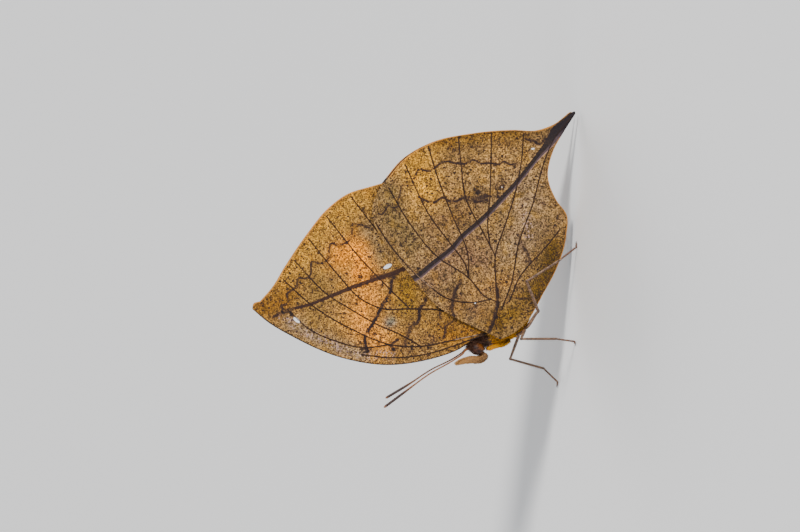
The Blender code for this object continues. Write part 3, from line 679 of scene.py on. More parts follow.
LEG_COLUMNS = 18


def leg_finish():
    """Brown horn with cream flecks, pale scales partly standing in as painted highlights, warmer on the foot
    and dark at the joints.
    """
    finish, shader, dye = new_finish("leg_horn", 0.5)
    place = dye.millimetres()
    cloud = dye.noise(place, 0.5)
    # cream flecks: pale scales, and painted glints of light as well
    fleck_and_glint = dye.cells(place, 0.16).between(0.18, 0.4, 1.0, 0.0)
    horn = cloud.between(0.3, 0.7).tint(screen((0.34, 0.24, 0.19)), screen((0.58, 0.45, 0.36)))
    warm = (dye.attribute("foot") * 0.7).tint(horn, screen((0.52, 0.30, 0.20)))
    pale = (fleck_and_glint * cloud.between(0.4, 0.6, 0.2, 0.75)).tint(warm, screen((0.84, 0.76, 0.66)))
    paint(dye, shader, dye.attribute("joint").tint(pale, screen((0.22, 0.13, 0.10))))
    bump(dye, shader, dye.cells(place, 0.08), 0.015)
    return finish


def leg_path(route):
    """Points along a leg, the bends kept short: each run is straight but for 0.5 mm at its ends."""
    root, leaving, hip, knee, ankle, heel, toe = route
    stations = [root, leaving, hip - unit(hip - leaving) * 0.5, hip]
    for start, end in ((hip, knee), (knee, ankle), (ankle, heel)):
        direction = unit(end - start)
        stations += [start + direction * 0.55, (start + end) / 2, end - direction * 0.4, end]
    stations += [heel + (toe - heel) * 0.3, toe]
    return np.array(stations)


def leg_socket(along, from_below_deg, sign, depth):
    """Where a leg leaves the body, some way under its surface, and the direction outwards there."""
    turn = np.array([math.pi - sign * math.radians(from_below_deg)])
    root, outward, _ = body_surface(np.array([along]), turn, lift=-depth)
    return root[0], outward[0]


def leg_radii(at, marks):
    """A leg's radius along its path: stout at the hip, full in each part and narrow at each joint."""
    hip, knee, ankle, heel, end = (marks[m] for m in ("hip", "knee", "ankle", "heel", "end"))
    stations = [0, hip * 0.5, hip, hip + 1.2, (hip + knee) / 2, knee - 0.5, knee + 0.5,
                (knee + ankle) / 2, ankle - 0.3, ankle + 0.3, heel, end - 0.12, end]
    return np.interp(at, stations, [0.36, 0.34, 0.29, FEMUR_RADIUS, FEMUR_RADIUS * 0.95, 0.24, 0.23,
                                    TIBIA_RADIUS, TIBIA_RADIUS, TARSUS_RADIUS, TARSUS_RADIUS,
                                    TARSUS_RADIUS * 0.8, 0.05])


def make_walking_legs():
    """Each leg is one tube from under the skin to the toe, with rings between the foot's joints."""
    finish = leg_finish()
    spine_finish, shader, dye = new_finish("leg_spines", 0.4)
    paint(dye, shader, dye.attribute("tip").tint(screen((0.42, 0.22, 0.11)), screen((0.20, 0.10, 0.06))))
    for number, (name, (along, hip, knee, ankle, foot, toe)) in enumerate(WALKING_LEGS.items()):
        root, outward = leg_socket(along, 30, math.copysign(1.0, hip[1]), 0.25)
        hip, knee, ankle = np.array(hip), np.array(knee), np.array(ankle)
        heel = np.array([*foot, TARSUS_RADIUS])
        step = unit(np.array([*toe, 0.0])) * TOE_LENGTH
        stations = leg_path([root, root + outward * 0.8, hip, knee, ankle, heel, heel + step])
        path = smooth_line(stations, 340)
        chord = np.concatenate([[0.0], np.cumsum(np.linalg.norm(np.diff(stations, axis=0), axis=1))])
        at = np.linspace(0.0, chord[-1], len(path))
        marks = {"hip": chord[3], "knee": chord[7], "ankle": chord[11], "heel": chord[15], "end": chord[-1]}
        segment = np.clip((at - marks["ankle"]) / (marks["end"] - marks["ankle"]), 0.0, 1.0)
        ringed = (0.5 + 0.5 * np.cos(segment * 5 * 2 * math.pi)) ** 6 * (segment > 0)
        knobs = sum(np.exp(-((at - marks[m]) / 0.16) ** 2) for m in ("hip", "knee", "ankle"))
        radii = leg_radii(at, marks) * (1.0 - 0.16 * ringed) + 0.03 * knobs
        rings = tube_rings(path, radii, LEG_COLUMNS)
        rings[..., 2] = np.maximum(rings[..., 2], 0.0)
        parts = tuple(f"{name}_{part}" for part in ("femur", "tibia", "tarsus"))
        piece = ring_piece(f"{name}_horn", rings, finish, replaces=parts, slot="leg_horn")
        joint = np.clip(ringed * 0.6 + knobs * 0.5 + 0.45 * (segment > 0.88), 0.0, 1.0)
        write_attribute(piece, "joint", np.concatenate([np.repeat(joint, LEG_COLUMNS), [0.0, 0.6]]))
        write_attribute(piece, "foot", pad_poles(np.repeat(ease(segment / 0.3), LEG_COLUMNS)))
        make_spines(name, path, radii, at, marks, spine_finish, 31 + number)
        make_claws(name, heel + step, unit(step), spine_finish)


def make_spines(name, path, radii, at, marks, finish, seed):
    """Short stiff hairs along shin and foot, in four rows, leaning towards the foot."""
    draw = np.random.default_rng(seed)
    forward, across, other = tube_frames(path)
    place = np.arange(marks["knee"] + 0.6, marks["end"] - 0.9, 0.33)
    place, row = np.meshgrid(place, np.arange(4))
    place = (place + row * 0.08 + draw.normal(0, 0.03, place.shape)).ravel()
    turn = (row.ravel() * math.pi / 2 + math.pi / 4 + draw.normal(0, 0.12, place.size))[:, None]
    index = np.clip(np.searchsorted(at, place), 0, len(at) - 1)
    outward = across[index] * np.cos(turn) + other[index] * np.sin(turn)
    roots = path[index] + outward * radii[index][:, None] * 0.9
    kept = roots[:, 2] + outward[:, 2] * 0.4 > 0.12
    roots, outward, index = roots[kept], outward[kept], index[kept]
    size = np.where(at[index] < marks["ankle"], 0.42, 0.26)
    patches = np.column_stack([at[index] / at[-1], turn[kept, 0] / (2 * math.pi) % 1.0])
    make_coat(f"{name}_spines", finish, seed, roots, unit(forward[index] + outward * 0.5), outward,
              size, 0.055, 0.5, patches, "leg_horn")


def joined_tubes(tubes):
    """Several closed tubes, given as their rings, as the vertices and faces of one mesh."""
    vertices, faces, start = [], [], 0
    for rings in tubes:
        made, closed = closed_tube(rings)
        faces += [[corner + start for corner in face] for face in outwards(made, closed)]
        vertices.append(made)
        start += len(made)
    return np.concatenate(vertices), faces


def make_claws(name, tip, direction, finish):
    """Two small claws, each a tapering quarter circle that bends down to the floor."""
    side = np.cross(direction, (0.0, 0.0, 1.0))
    claws = []
    for sign in SIDES.values():
        bend = np.linspace(0.0, math.pi * 0.45, 14)[:, None]
        path = tip + direction * (0.32 * np.sin(bend) - 0.06) + side * sign * (0.06 + 0.16 * np.sin(bend))
        path[:, 2] = tip[2] - 0.02 + 0.05 * np.sin(bend[:, 0] * 2) - 0.12 * (1 - np.cos(bend[:, 0]))
        rings = tube_rings(path, np.linspace(0.06, 0.012, len(path)), 10)
        rings[..., 2] = np.maximum(rings[..., 2], 0.0)
        claws.append(rings)
    vertices, faces = joined_tubes(claws)
    piece = new_piece(f"{name}_claws", vertices, faces, finish, slot="leg_horn")
    write_attribute(piece, "tip", np.ones(len(vertices)))


make_walking_legs()

# Brush feet
# The first pair of legs is tiny, hairy and useless for walking, as in all butterflies of this
# family. It is folded forward under the thorax and wears the same gold brown hair.


def make_forelegs():
    """A short tapering tube folded forward from its socket, with long tufts from end to end."""
    finish, shader, dye = new_finish("brush_foot_skin", 0.7)
    cloud = dye.noise(dye.millimetres(), 0.3)
    paint(dye, shader, cloud.tint(screen((0.72, 0.52, 0.18)), screen((0.92, 0.69, 0.25))))
    hair = coat_finish("brush_foot_hair", (0.66, 0.50, 0.19), (0.88, 0.69, 0.28), (0.90, 0.73, 0.34), 0.8)
    for word, sign in SIDES.items():
        root, outward = leg_socket(3.4, 32, sign, 0.1)
        route = [root, root + outward * 0.7, body_point(2.2, -2.7, sign * 1.4),
                 body_point(0.9, -2.05, sign * 1.35), body_point(-0.5, -1.6, sign * 1.25)]
        path = smooth_line(route, 50)
        along = np.linspace(0.0, 1.0, len(path))
        radii = 0.27 * np.interp(along, [0, 0.3, 0.7, 0.95, 1.0], [0.8, 1.0, 0.95, 0.6, 0.15])
        ring_piece(f"foreleg_{word}_skin", tube_rings(path, radii, 18), finish,
                   replaces=(f"foreleg_{word}",), slot="body_fur")
        tube_coat(f"foreleg_{word}_hair", hair, 41 + int(sign), path, radii, 1700, 0.6, 0.075, 0.34,
                  "body_fur", span=(0.0, 1.0))


make_forelegs()

# Forewings
# A membrane as thin as paper on stiff hollow veins, dusted with scales. The underside copies a
# dead leaf: orange and ochre, a brown midrib band, wavy lines, a clear window and mould spots.

FOREWING_OFFSET = 0.55
LAYER_SPACING = 1.2
MEMBRANE = 0.14
FOREWING_CENTRE = (-7.5, 39.5)
FOREWING_ROOT = np.array([[-15.0, 15.9], [-14.2, 16.6]])

FOREWING_EDGES = {
    "costa": [(-15.0, 15.9), (-15.3, 18.0), (-18.2, 22.2), (-20.7, 29.0), (-21.9, 36.6), (-20.9, 45.5),
              (-17.0, 55.8), (-14.2, 61.0), (-11.8, 64.1)],
    "apex": [(-11.8, 64.1), (-10.7, 63.9), (-10.2, 62.6)],
    "outer": [(-10.2, 62.6), (-7.3, 60.3), (-3.0, 57.9), (4.0, 53.5), (8.4, 50.2), (12.0, 45.8),
              (13.6, 41.4), (14.6, 38.4)],
    "inner": [(14.6, 38.4), (13.9, 36.8), (10.3, 33.8), (-2.0, 25.0), (-12.4, 17.2), (-13.9, 15.5)],
    "root": [(-13.9, 15.5), (-15.0, 15.9)],
}

FOREWING_VEINS = {
    "cubital": [(-14.4, 16.8), (-12.3, 21.0), (-10.6, 26.1), (-10.5, 32.6), (-10.7, 38.0), (-9.1, 42.2),
                (-3.8, 47.8), (2.6, 53.5)],
    "radial": [(-14.6, 17.0), (-16.4, 23.5), (-17.9, 30.0), (-17.8, 36.2), (-15.3, 43.5), (-9.8, 53.4),
               (-5.7, 58.3)],
    "subcostal": [(-14.95, 17.4), (-17.4, 23.0), (-19.4, 28.8), (-20.4, 36.0), (-20.0, 42.0)],
    "middle": [(-17.9, 30.0), (-15.7, 34.3), (-13.8, 39.2), (-11.0, 44.6), (-8.6, 48.9), (-1.8, 56.3)],
    "tip": [(-17.8, 36.2), (-18.6, 42.0), (-17.5, 47.3), (-15.4, 52.6), (-11.6, 57.2)],
    "third": [(-10.5, 32.6), (-7.0, 36.5), (-0.9, 42.9), (7.3, 50.2)],
    "fourth": [(-10.6, 26.1), (-3.0, 33.2), (5.7, 40.6), (11.4, 45.4)],
    "anal": [(-13.7, 16.7), (-8.0, 21.2), (2.0, 29.4), (13.4, 38.9)],
}

# each line: its points, half width and darkness
FOREWING_LINES = [
    ([(-3.9, 36.1), (-5.4, 36.5), (-7.0, 36.6), (-8.7, 37.4), (-10.4, 38.3), (-12.3, 39.2), (-13.8, 39.9),
      (-15.2, 40.8), (-16.4, 41.4), (-18.0, 41.2), (-19.3, 40.6)], 0.36, 1.0),
    ([(5.0, 40.7), (5.6, 42.3), (5.7, 44.7), (4.5, 44.8), (3.2, 45.0), (2.1, 46.1), (1.7, 47.5), (1.8, 49.1),
      (0.5, 49.3), (-1.0, 49.4), (-2.2, 50.9), (-2.0, 52.7), (-3.0, 52.8), (-4.6, 52.9), (-5.3, 53.9),
      (-5.4, 55.4), (-6.6, 55.5), (-7.4, 55.9), (-8.5, 57.4), (-9.5, 57.3)], 0.23, 0.85),
    ([(-13.2, 59.9), (-12.4, 58.6), (-11.7, 58.1), (-11.0, 58.5), (-10.6, 57.4)], 0.28, 0.9),
    ([(-7.7, 29.2), (-9.2, 29.6), (-10.6, 30.7), (-12.1, 30.5), (-13.4, 31.0)], 0.34, 1.0),
    ([(-11.0, 54.6), (-11.7, 56.6), (-12.6, 58.9)], 0.4, 0.7), ([(-4.2, 38.4), (-4.4, 40.6)], 0.5, 0.7),
    ([(-16.7, 34.7), (-18.1, 36.0), (-18.8, 35.4)], 0.34, 0.95),
    ([(-13.3, 31.5), (-14.8, 32.4), (-16.5, 32.9), (-18.0, 33.4)], 0.5, 0.75),
    ([(-10.8, 26.5), (-12.1, 26.2)], 0.26, 0.85),
    ([(-10.2, 21.6), (-11.6, 22.9), (-13.1, 24.3), (-13.6, 25.1), (-14.8, 25.2), (-16.2, 25.6)], 0.26, 0.85),
    ([(-15.6, 27.6), (-16.6, 27.4), (-17.2, 27.9)], 0.2, 0.7),
]
FOREWING_MIDRIB = [(-2.2, 33.4), (-3.7, 36.6), (-5.0, 40.0), (-6.7, 44.4), (-8.7, 48.8), (-10.5, 53.0),
                   (-11.3, 55.6)]

# each spot: its place, half sizes along x and z, darkness and, where it has one, a turn in degrees
FOREWING_DARK_SPOTS = [
    ((-12.6, 56.4), 0.6, 0.4, 1.0), ((-4.5, 42.8), 0.5, 0.68, 1.0), ((-8.8, 32.3), 0.42, 0.34, 1.0),
    ((-18.7, 35.6), 0.36, 0.5, 1.0), ((-18.5, 31.8), 0.5, 0.34, 0.9), ((-18.2, 28.5), 0.5, 0.42, 0.9),
    ((-19.5, 41.2), 0.3, 0.8, 1.0), ((-12.1, 58.2), 0.4, 0.4, 0.8),
    ((-6.5, 48.5), 0.25, 0.25, 0.8), ((-8.0, 52.4), 0.25, 0.25, 0.8), ((-10.3, 55.3), 0.32, 0.3, 0.8),
    ((-17.9, 31.8), 0.4, 0.45, 0.6), ((-17.6, 28.2), 0.4, 0.35, 0.55), ((-16.7, 25.1), 0.4, 0.35, 0.5),
    ((-20.3, 33.7), 0.35, 0.45, 0.6), ((-20.1, 41.6), 0.45, 0.5, 0.7), ((-18.9, 41.9), 0.4, 0.5, 0.9),
    ((1.6, 51.3), 0.2, 0.2, 0.6), ((2.5, 49.0), 0.25, 0.25, 0.7), ((5.7, 44.9), 0.25, 0.25, 0.7),
    ((-7.4, 57.3), 0.25, 0.25, 0.8), ((-2.1, 52.8), 0.22, 0.22, 0.6),
]
FOREWING_PALE_SPOTS = [((-13.6, 55.3), 0.42, 0.95, 1.0, -40.0), ((-2.2, 37.4), 0.44, 1.0, 1.0, 28.0)]

# a run of lilac white scales beside the leading edge, gone 1.35 mm away from this line
FOREWING_FROST = [(-19.9, 36.0), (-20.2, 41.0), (-19.2, 45.0), (-17.3, 50.0), (-15.2, 54.6), (-13.4, 58.2)]

# each tint: the run it is laid along, its reach, colour and strength, one over another
# the tints are partly the leaf's pattern and partly painted light: lighter towards the outer margin, where
# the light falls, and darker towards the root
FOREWING_GROUND = (0.65, 0.49, 0.29)
FOREWING_TINTS = [
    # ochre outer margin, then golden brown tip and the brown field behind it
    ([(-4.0, 57.5), (4.0, 52.5), (11.5, 45.5)], 4.5, (0.73, 0.56, 0.28), 0.85),
    ([(-11.8, 62.5), (-9.5, 57.5)], 2.8, (0.58, 0.38, 0.10), 0.9),
    ([(-5.5, 51.5), (-12.8, 51.5)], 2.8, (0.58, 0.43, 0.23), 0.8),
    # orange patch above the midrib, peach patch below it
    ([(-4.5, 42.5), (1.0, 43.5), (-0.5, 46.5)], 2.7, (0.85, 0.62, 0.04), 1.0),
    ([(-8.5, 41.0), (-12.5, 42.5), (-17.0, 38.5)], 3.2, (0.80, 0.59, 0.32), 0.9),
    # grey shade round the window, blue grey cloud by the short dark line, olive gold beside the hindwing
    ([(0.0, 38.5), (5.0, 41.5)], 2.3, (0.57, 0.45, 0.33), 0.85),
    ([(-13.5, 36.6), (-13.0, 36.1)], 1.1, (0.45, 0.44, 0.44), 0.85),
    ([(-6.0, 33.5), (-9.5, 33.0)], 2.7, (0.56, 0.40, 0.13), 0.95),
    # orange brown root, brown then lilac grey leading edge
    ([(-14.5, 19.0), (-15.3, 25.0)], 3.2, (0.60, 0.40, 0.13), 0.85),
    ([(-17.5, 27.5), (-20.0, 34.5)], 1.8, (0.55, 0.40, 0.25), 0.7),
    ([(-20.0, 41.5), (-18.0, 48.5), (-14.3, 56.5)], 1.7, (0.60, 0.49, 0.40), 0.85),
]


def run_gaps(points, line):
    """For each straight run of a line: its start, its way, and each point's squared distance to it."""
    for start, end in zip(line[:-1], line[1:]):
        run = end - start
        part = np.clip((points - start) @ run / (run @ run), 0.0, 1.0)
        gap = points - start - part[:, None] * run
        yield start, run, np.einsum("ij,ij->i", gap, gap)


def distance_to_line(points, line):
    """Distance from each point to the nearest of a line's straight runs."""
    nearest = np.full(len(points), np.inf)
    for _, _, away in run_gaps(points, line):
        nearest = np.minimum(nearest, away)
    return np.sqrt(nearest)


def side_lift(points, line, core, reach, height):
    """How far a wing stands out to clear the body: full near the line, none past its reach."""
    return height * ease(1.0 - (distance_to_line(points, line) - core) / reach)


def forewing_place(points):
    """Sideways distance of the forewing from the middle plane: 0.55 mm, more at its root."""
    return FOREWING_OFFSET + side_lift(points, FOREWING_ROOT, 1.4, 5.2, 2.15)


def wing_outline(edges, columns):
    """A closed outline of evenly spaced points, and the part of its length where each edge ends."""
    dense = np.concatenate([spaced_line(points, 0.1)[:-1] for points in edges.values()])
    lengths = [np.linalg.norm(np.diff(spaced_line(p, 0.1), axis=0), axis=1).sum() for p in edges.values()]
    closed = np.concatenate([dense, dense[:1]])
    at = np.concatenate([[0.0], np.cumsum(np.linalg.norm(np.diff(closed, axis=0), axis=1))])
    read = np.arange(columns) * at[-1] / columns
    outline = np.column_stack([np.interp(read, at, closed[:, k]) for k in (0, 1)])
    ends = dict(zip(edges, np.cumsum(lengths) / sum(lengths)))
    return outline, ends


def blended_tints(points, ground, tints):
    """Each tint laid over the last with a weight that falls off as a bell from its run."""
    colour = np.tile(screen(ground), (len(points), 1))
    for run, reach, tint, strength in tints:
        away = distance_to_line(points, spaced_line(run, 1.0)) / reach
        weight = (strength * np.exp(-away ** 2))[:, None]
        colour = colour * (1 - weight) + screen(tint) * weight
    return colour


def spot_field(points, spots):
    """Distance to the nearest spot's middle in units of its radius, and more where the spot is faint."""
    field = np.full(len(points), 9.0)
    for place, width, height, darkness, *tilt in spots:
        turn = math.radians(tilt[0] if tilt else 0.0)
        away = (points - np.array(place)) @ np.array([[math.cos(turn), -math.sin(turn)],
                                                      [math.sin(turn), math.cos(turn)]])
        field = np.minimum(field, np.linalg.norm(away / (width, height), axis=1) + (1.0 - darkness) * 0.6)
    return field


def line_field(points, lines, rings=()):
    """Distance to the nearest dark line or ring in units of its half width, and its darkness."""
    field, darkness = np.full(len(points), 9.0), np.zeros(len(points))
    marks = [(distance_to_line(points, spaced_line(line, 0.35)), width, dark) for line, width, dark in lines]
    marks += [(np.abs(np.linalg.norm(points - np.array(middle), axis=1) - radius), width, dark)
              for middle, radius, width, dark in rings]
    for away, half_width, dark in marks:
        away = away / half_width
        darkness = np.where(away < field, dark, darkness)
        field = np.minimum(field, away)
    return field, darkness


def signed_distance(points, line):
    """Distance to a line, positive on its left side as it runs."""
    nearest, side = np.full(len(points), np.inf), np.ones(len(points))
    for start, run, away in run_gaps(points, spaced_line(line, 0.5)):
        cross = run[0] * (points[:, 1] - start[1]) - run[1] * (points[:, 0] - start[0])
        side = np.where(away < nearest, np.sign(cross), side)
        nearest = np.minimum(nearest, away)
    return np.sqrt(nearest) * np.where(side == 0, 1.0, side)


def along_line(points, line):
    """How far each point lies along the straight way between a line's ends, 0 at one and 1 at the other."""
    start, end = np.asarray(line[0], float), np.asarray(line[-1], float)
    return (points - start) @ (end - start) / ((end - start) @ (end - start))


WING_COLUMNS = 560
OUTER_ROWS = 140
INNER_ROWS = 22
VEIN_RIDGE = 0.07
PLEAT_DEPTH = 0.10
SWELL_HEIGHT = 0.06


def specks(dye, place, size, radius, share, ragged):
    """Round dark scales: one in a share of the cells, its radius in parts of a cell and uneven."""
    away = dye.cells(place, size)
    pick = dye.make("ShaderNodeSeparateColor", {0: dye.cells(place, size, output=1)})
    reach = pick.between(1.0 - share, 1.0 - share * 0.6, -0.3, radius)
    return (away + ragged - reach).between(-0.06, 0.08, 1.0, 0.0)


def scaled_ground(dye, place, mottle, grain):
    """The tinted ground under clouds of gold and mauve, grain, light specks partly painted as glints, pale
    flecks and dark specks.

    Returns the colour, and the mask of the middling specks, which the relief uses as well.
    """
    under = dye.attribute("under")
    ground = dye.attribute("ground", 0)
    clouds = dye.noise(place, 2.4, 5.0, 0.62)
    drift = dye.noise(place, 5.0, 3.0)
    ragged = (grain - 0.5) * 0.5
    gold = clouds.between(0.5, 0.68) * under * 0.62
    mauve = clouds.between(0.47, 0.3) * under * 0.5
    base = gold.tint(ground, ground.stain((1.14, 0.98, 0.3)))
    base = mauve.tint(base, base.stain((0.80, 0.72, 1.0)))
    lively = (mottle.between(0.31, 0.69, 0.44, 1.62) * grain.between(0.37, 0.61, 0.3, 1.76)).shade(base)
    dull = drift.between(0.4, 0.62, 0.87, 1.06).shade(lively.stain((1.0, 1.16, 1.0)))
    # light specks: pale gold scales, partly painted glints where single scales catch the light
    light = specks(dye, place, 0.52, 0.36, 0.55, ragged) * under * 0.75
    fine = specks(dye, place, 0.42, 0.37, 0.65, ragged) * under * 0.85
    middling = specks(dye, place, 0.75, 0.26, 0.5, ragged * 0.6) * under * 0.9
    sparse = specks(dye, place, 1.9, 0.17, 0.5, ragged * 0.3) * under * 0.9
    glinted = light.tint(dull, dull.stain((1.5, 1.42, 1.1)))
    flecks = specks(dye, place, 0.38, 0.46, 0.6, ragged) * dye.attribute("frost") * 0.55
    glinted = flecks.tint(glinted, screen((0.77, 0.69, 0.67)))
    specked = middling.tint(fine.tint(glinted, screen((0.31, 0.19, 0.15))), screen((0.21, 0.12, 0.12)))
    return sparse.tint(specked, screen((0.16, 0.10, 0.10))), middling


def drawn_lines(dye, place, colour):
    """Broken dark lines with a soft halo, and dark veins with a painted highlight, a lighter strip, beside
    each.
    """
    wobble = (dye.noise(place, 0.45, 3.0, 0.7) - 0.5) * 1.6
    from_line = dye.attribute("line") + wobble
    broken = dye.noise(place, 0.9, 2.0).between(0.32, 0.5, 0.45, 1.0)
    line = from_line.between(0.55, 1.3, 1.0, 0.0) * dye.attribute("line_dark") * broken
    halo = from_line.between(0.8, 4.5, 1.0, 0.0) * dye.attribute("line_dark") * 0.45
    lined = line.tint(halo.tint(colour, colour.stain((0.55, 0.5, 0.55))), screen((0.20, 0.12, 0.13)))
    vein = dye.attribute("vein")
    # painted highlight: a lighter strip along each side of every vein, where its ridge catches the light
    painted_vein_highlight = vein.between(0.12, 0.24) * vein.between(0.3, 0.6, 1.0, 0.0) * 0.4
    veined = painted_vein_highlight.tint(lined, lined.stain((1.3, 1.3, 1.3)))
    core = vein.between(0.09, 0.22, 1.0, 0.0) * 0.85
    return core.tint(veined, screen((0.22, 0.13, 0.10)))


def midrib_band(dye, place, mottle, colour, dark, grey, soft):
    """The dark band along the midrib, grey on one side where band_grey says so, with a pale shine.

    Returns the colour, and the mask of the band's inside.
    """
    band, band_here = dye.attribute("band"), dye.attribute("band_here")
    shaky = band + (dye.noise(place, 0.7, 3.0) - 0.5) * (0.5 + soft * 3.5)
    inside = shaky.between(-1.0 - soft, -0.9 + soft * 0.7)
    inside = inside * shaky.between(0.9 - soft * 0.7, 1.0 + soft, 1.0, 0.0) * band_here
    grey_here = dye.attribute("band_grey")
    grey_side = (band + (mottle - 0.5) * 0.4).between(0.25, 0.5) * grey_here
    banded = (inside * 0.95).tint(colour, grey_side.tint(screen(dark), screen(grey)))
    shine = band.between(0.82, 0.95) * band.between(1.0, 1.15, 1.0, 0.0) * band_here * grey_here
    patchy = dye.noise(place, 1.0).between(0.4, 0.62, 0.1, 0.8)
    return (shine * patchy).tint(banded, screen((0.70, 0.60, 0.56))), inside


def wing_spots(dye, grain, colour):
    """Dark spots, and pale spots in a brown ring; one pale spot on the hindwing is a painted glint."""
    small = (grain - 0.5) * 0.6
    dark_spot = (dye.attribute("dark_spot") + small).between(0.6, 1.2, 1.0, 0.0)
    spotted = (dark_spot * 0.9).tint(colour, screen((0.13, 0.08, 0.10)))
    near_pale = dye.attribute("pale_spot") + small * 0.8
    ringed = (near_pale.between(0.95, 1.5, 1.0, 0.0) * 0.6).tint(spotted, screen((0.27, 0.16, 0.13)))
    return near_pale.between(0.75, 1.0, 1.0, 0.0).tint(ringed, screen((0.88, 0.81, 0.82)))


def wing_borders(dye, mottle, grain, inside, colour):
    """A warm border, a brown hem and a painted rim light, a thin bright line of painted highlight, along the
    outer margin, and a dark leading edge.
    """
    rim = dye.attribute("rim")
    edge = dye.attribute("outer_edge") * (1.0 - inside)
    border = (rim + (mottle - 0.5) * 1.8).between(0.2, 1.5, 0.45, 0.0) * edge
    bordered = border.tint(colour, colour.stain((0.86, 0.74, 0.42)))
    uneven = rim + (mottle - 0.5) * 0.5
    hem = uneven.between(0.22, 0.34) * uneven.between(0.42, 0.62, 1.0, 0.0) * edge * 0.45
    bordered = hem.tint(bordered, bordered.stain((0.42, 0.36, 0.4)))
    # painted highlight: a bright line just inside the outer margin, where the rim catches the light
    painted_rim_light = uneven.between(0.06, 0.2, 1.0, 0.0) * edge * 0.8
    bordered = painted_rim_light.tint(bordered, screen((0.80, 0.63, 0.36)))
    costal = (rim + (grain - 0.5) * 0.2).between(0.1, 0.32, 1.0, 0.0) * dye.attribute("costal_edge")
    return (costal * 0.9).tint(bordered, screen((0.19, 0.11, 0.09)))


def wing_finish(name, band_dark, band_grey, band_soft):
    """Scaled membrane: ground and specks, lines and veins, midrib band, spots and borders, some with painted
    highlights.
    """
    finish, shader, dye = new_finish(name, 0.72, Specular_IOR_Level=0.25)
    place = dye.millimetres()
    mottle = dye.noise(place, 0.7, 4.0, 0.68)
    grain = dye.noise(place, 0.27, 2.0, 0.6)
    ground, middling = scaled_ground(dye, place, mottle, grain)
    lined = drawn_lines(dye, place, ground)
    banded, inside = midrib_band(dye, place, mottle, lined, band_dark, band_grey, band_soft)
    spotted = wing_spots(dye, grain, banded)
    paint(dye, shader, wing_borders(dye, mottle, grain, inside, spotted))
    paint(dye, shader, mottle.between(0.3, 0.7, 0.62, 0.8), "Roughness")
    relief = dye.cells(place, 0.11) * 0.4 + grain * 1.0 + mottle * 1.0 - middling * 0.3
    bump(dye, shader, relief, 0.11, 0.8)
    return finish


def make_wing(name, sign, finish, wing, slot):
    """A closed thin sheet on a polar grid: outer face, rim and inner face, ridged along its veins.

    A point is the centre plus t times the way to the outline. Its sideways place comes from the
    wing's own layer, plus a ridge that falls off as a bell from each vein, less a pleat between.
    """
    outline, ends = wing_outline(wing["edges"], WING_COLUMNS)
    centre = np.array(wing["centre"])
    outer_t = np.linspace(0.004, 1.0, OUTER_ROWS)
    inner_t = np.linspace(1.0, 0.004, INNER_ROWS)
    flat = centre + np.concatenate([outer_t, inner_t])[:, None, None] * (outline - centre)
    points = flat.reshape(-1, 2)
    outer_face = np.repeat(np.arange(len(flat)) < OUTER_ROWS, WING_COLUMNS)
    veins = np.min([distance_to_line(points, spaced_line(v, 0.8)) for v in wing["veins"].values()], axis=0)
    rim = distance_to_line(points, np.concatenate([outline[::3], outline[:1]]))
    ridge = VEIN_RIDGE * np.exp(-(veins / 0.34) ** 2)
    pleat = PLEAT_DEPTH * (1 - np.exp(-(veins / 1.4) ** 2)) * ease(rim / 2.0)
    swell = SWELL_HEIGHT * np.sin(points[:, 0] * 0.55 + 0.6) * np.sin(points[:, 1] * 0.43) * ease(rim / 3.0)
    half = MEMBRANE / 2 * np.where(outer_face, 1.0, -1.0) * (0.5 + 0.5 * ease(rim / 0.3))
    side = sign * (wing["place"](points) + ridge - pleat + swell + half)
    piece = ring_piece(name, stand(flat, side.reshape(flat.shape[:2])), finish,
                       replaces=(name.removesuffix("_membrane"),), slot=slot)
    write_wing_pattern(piece, points, outer_face, rim, veins, outline, ends, wing)


def write_wing_pattern(piece, points, outer_face, rim, veins, outline, ends, wing):
    """Stores what the finish reads. The upper side, folded inwards, gets its own plain pattern."""
    line, line_dark = line_field(points, wing["lines"], wing["rings"])
    along = along_line(points, wing["midrib"])
    band = signed_distance(points, wing["midrib"]) / wing["midrib_width"](along)
    band_here = ease(along / 0.03 + 1.0) * ease((1.0 - along) / 0.03 + 1.0)
    under = blended_tints(points, wing["ground"], wing["tints"])
    upper = wing["upper"](points)
    shown = outer_face.astype(float)
    away = np.where(outer_face, 0.0, 50.0)
    nearest = np.full(len(points), np.inf)
    at = np.zeros(len(points))
    for number in range(0, len(outline), 4):
        gap = ((points - outline[number]) ** 2).sum(1)
        at = np.where(gap < nearest, number / len(outline), at)
        nearest = np.minimum(nearest, gap)
    leading, outer = (ends[edge] for edge in wing["margins"])
    outer_edge = ease((at - leading) / 0.01) * ease((outer - at) / 0.01)
    costal = ease((leading - at) / 0.02) * ease((at - 0.01) / 0.01)
    fields = {
        "under": shown, "line": line + away, "line_dark": line_dark * shown, "band": band,
        "band_here": band_here * shown, "rim": rim,
        "band_grey": wing["band_grey"] * shown * ease((along - 0.06) / 0.08),
        "vein": veins + away, "dark_spot": spot_field(points, wing["dark_spots"]) + away,
        "pale_spot": spot_field(points, wing["pale_spots"]) + away,
        "outer_edge": outer_edge, "costal_edge": costal * wing["costal_dark"],
        "frost": ease(1.5 - distance_to_line(points, np.array(wing["frost"])) / 0.9) * shown,
    }
    for name, values in fields.items():
        write_attribute(piece, name, pad_poles(values))
    write_attribute(piece, "ground", pad_poles(np.where(outer_face[:, None], under, upper)))


def forewing_upper(points):
    """The upper side: deep blue, a broad orange band across and a dark tip."""
    across = (points - np.array((-6.0, 44.0))) @ unit(np.array((-0.45, 1.0)))
    orange = np.exp(-(across / 5.0) ** 4)[:, None]
    tip = ease((across - 6.0) / 3.0)[:, None]
    blue, amber, dark = screen((0.10, 0.16, 0.42)), screen((0.85, 0.45, 0.10)), screen((0.10, 0.07, 0.08))
    return (blue * (1 - orange) + amber * orange) * (1 - tip) + dark * tip


VEIN_ROOT_RADIUS = 0.17
VEIN_TIP_RADIUS = 0.085


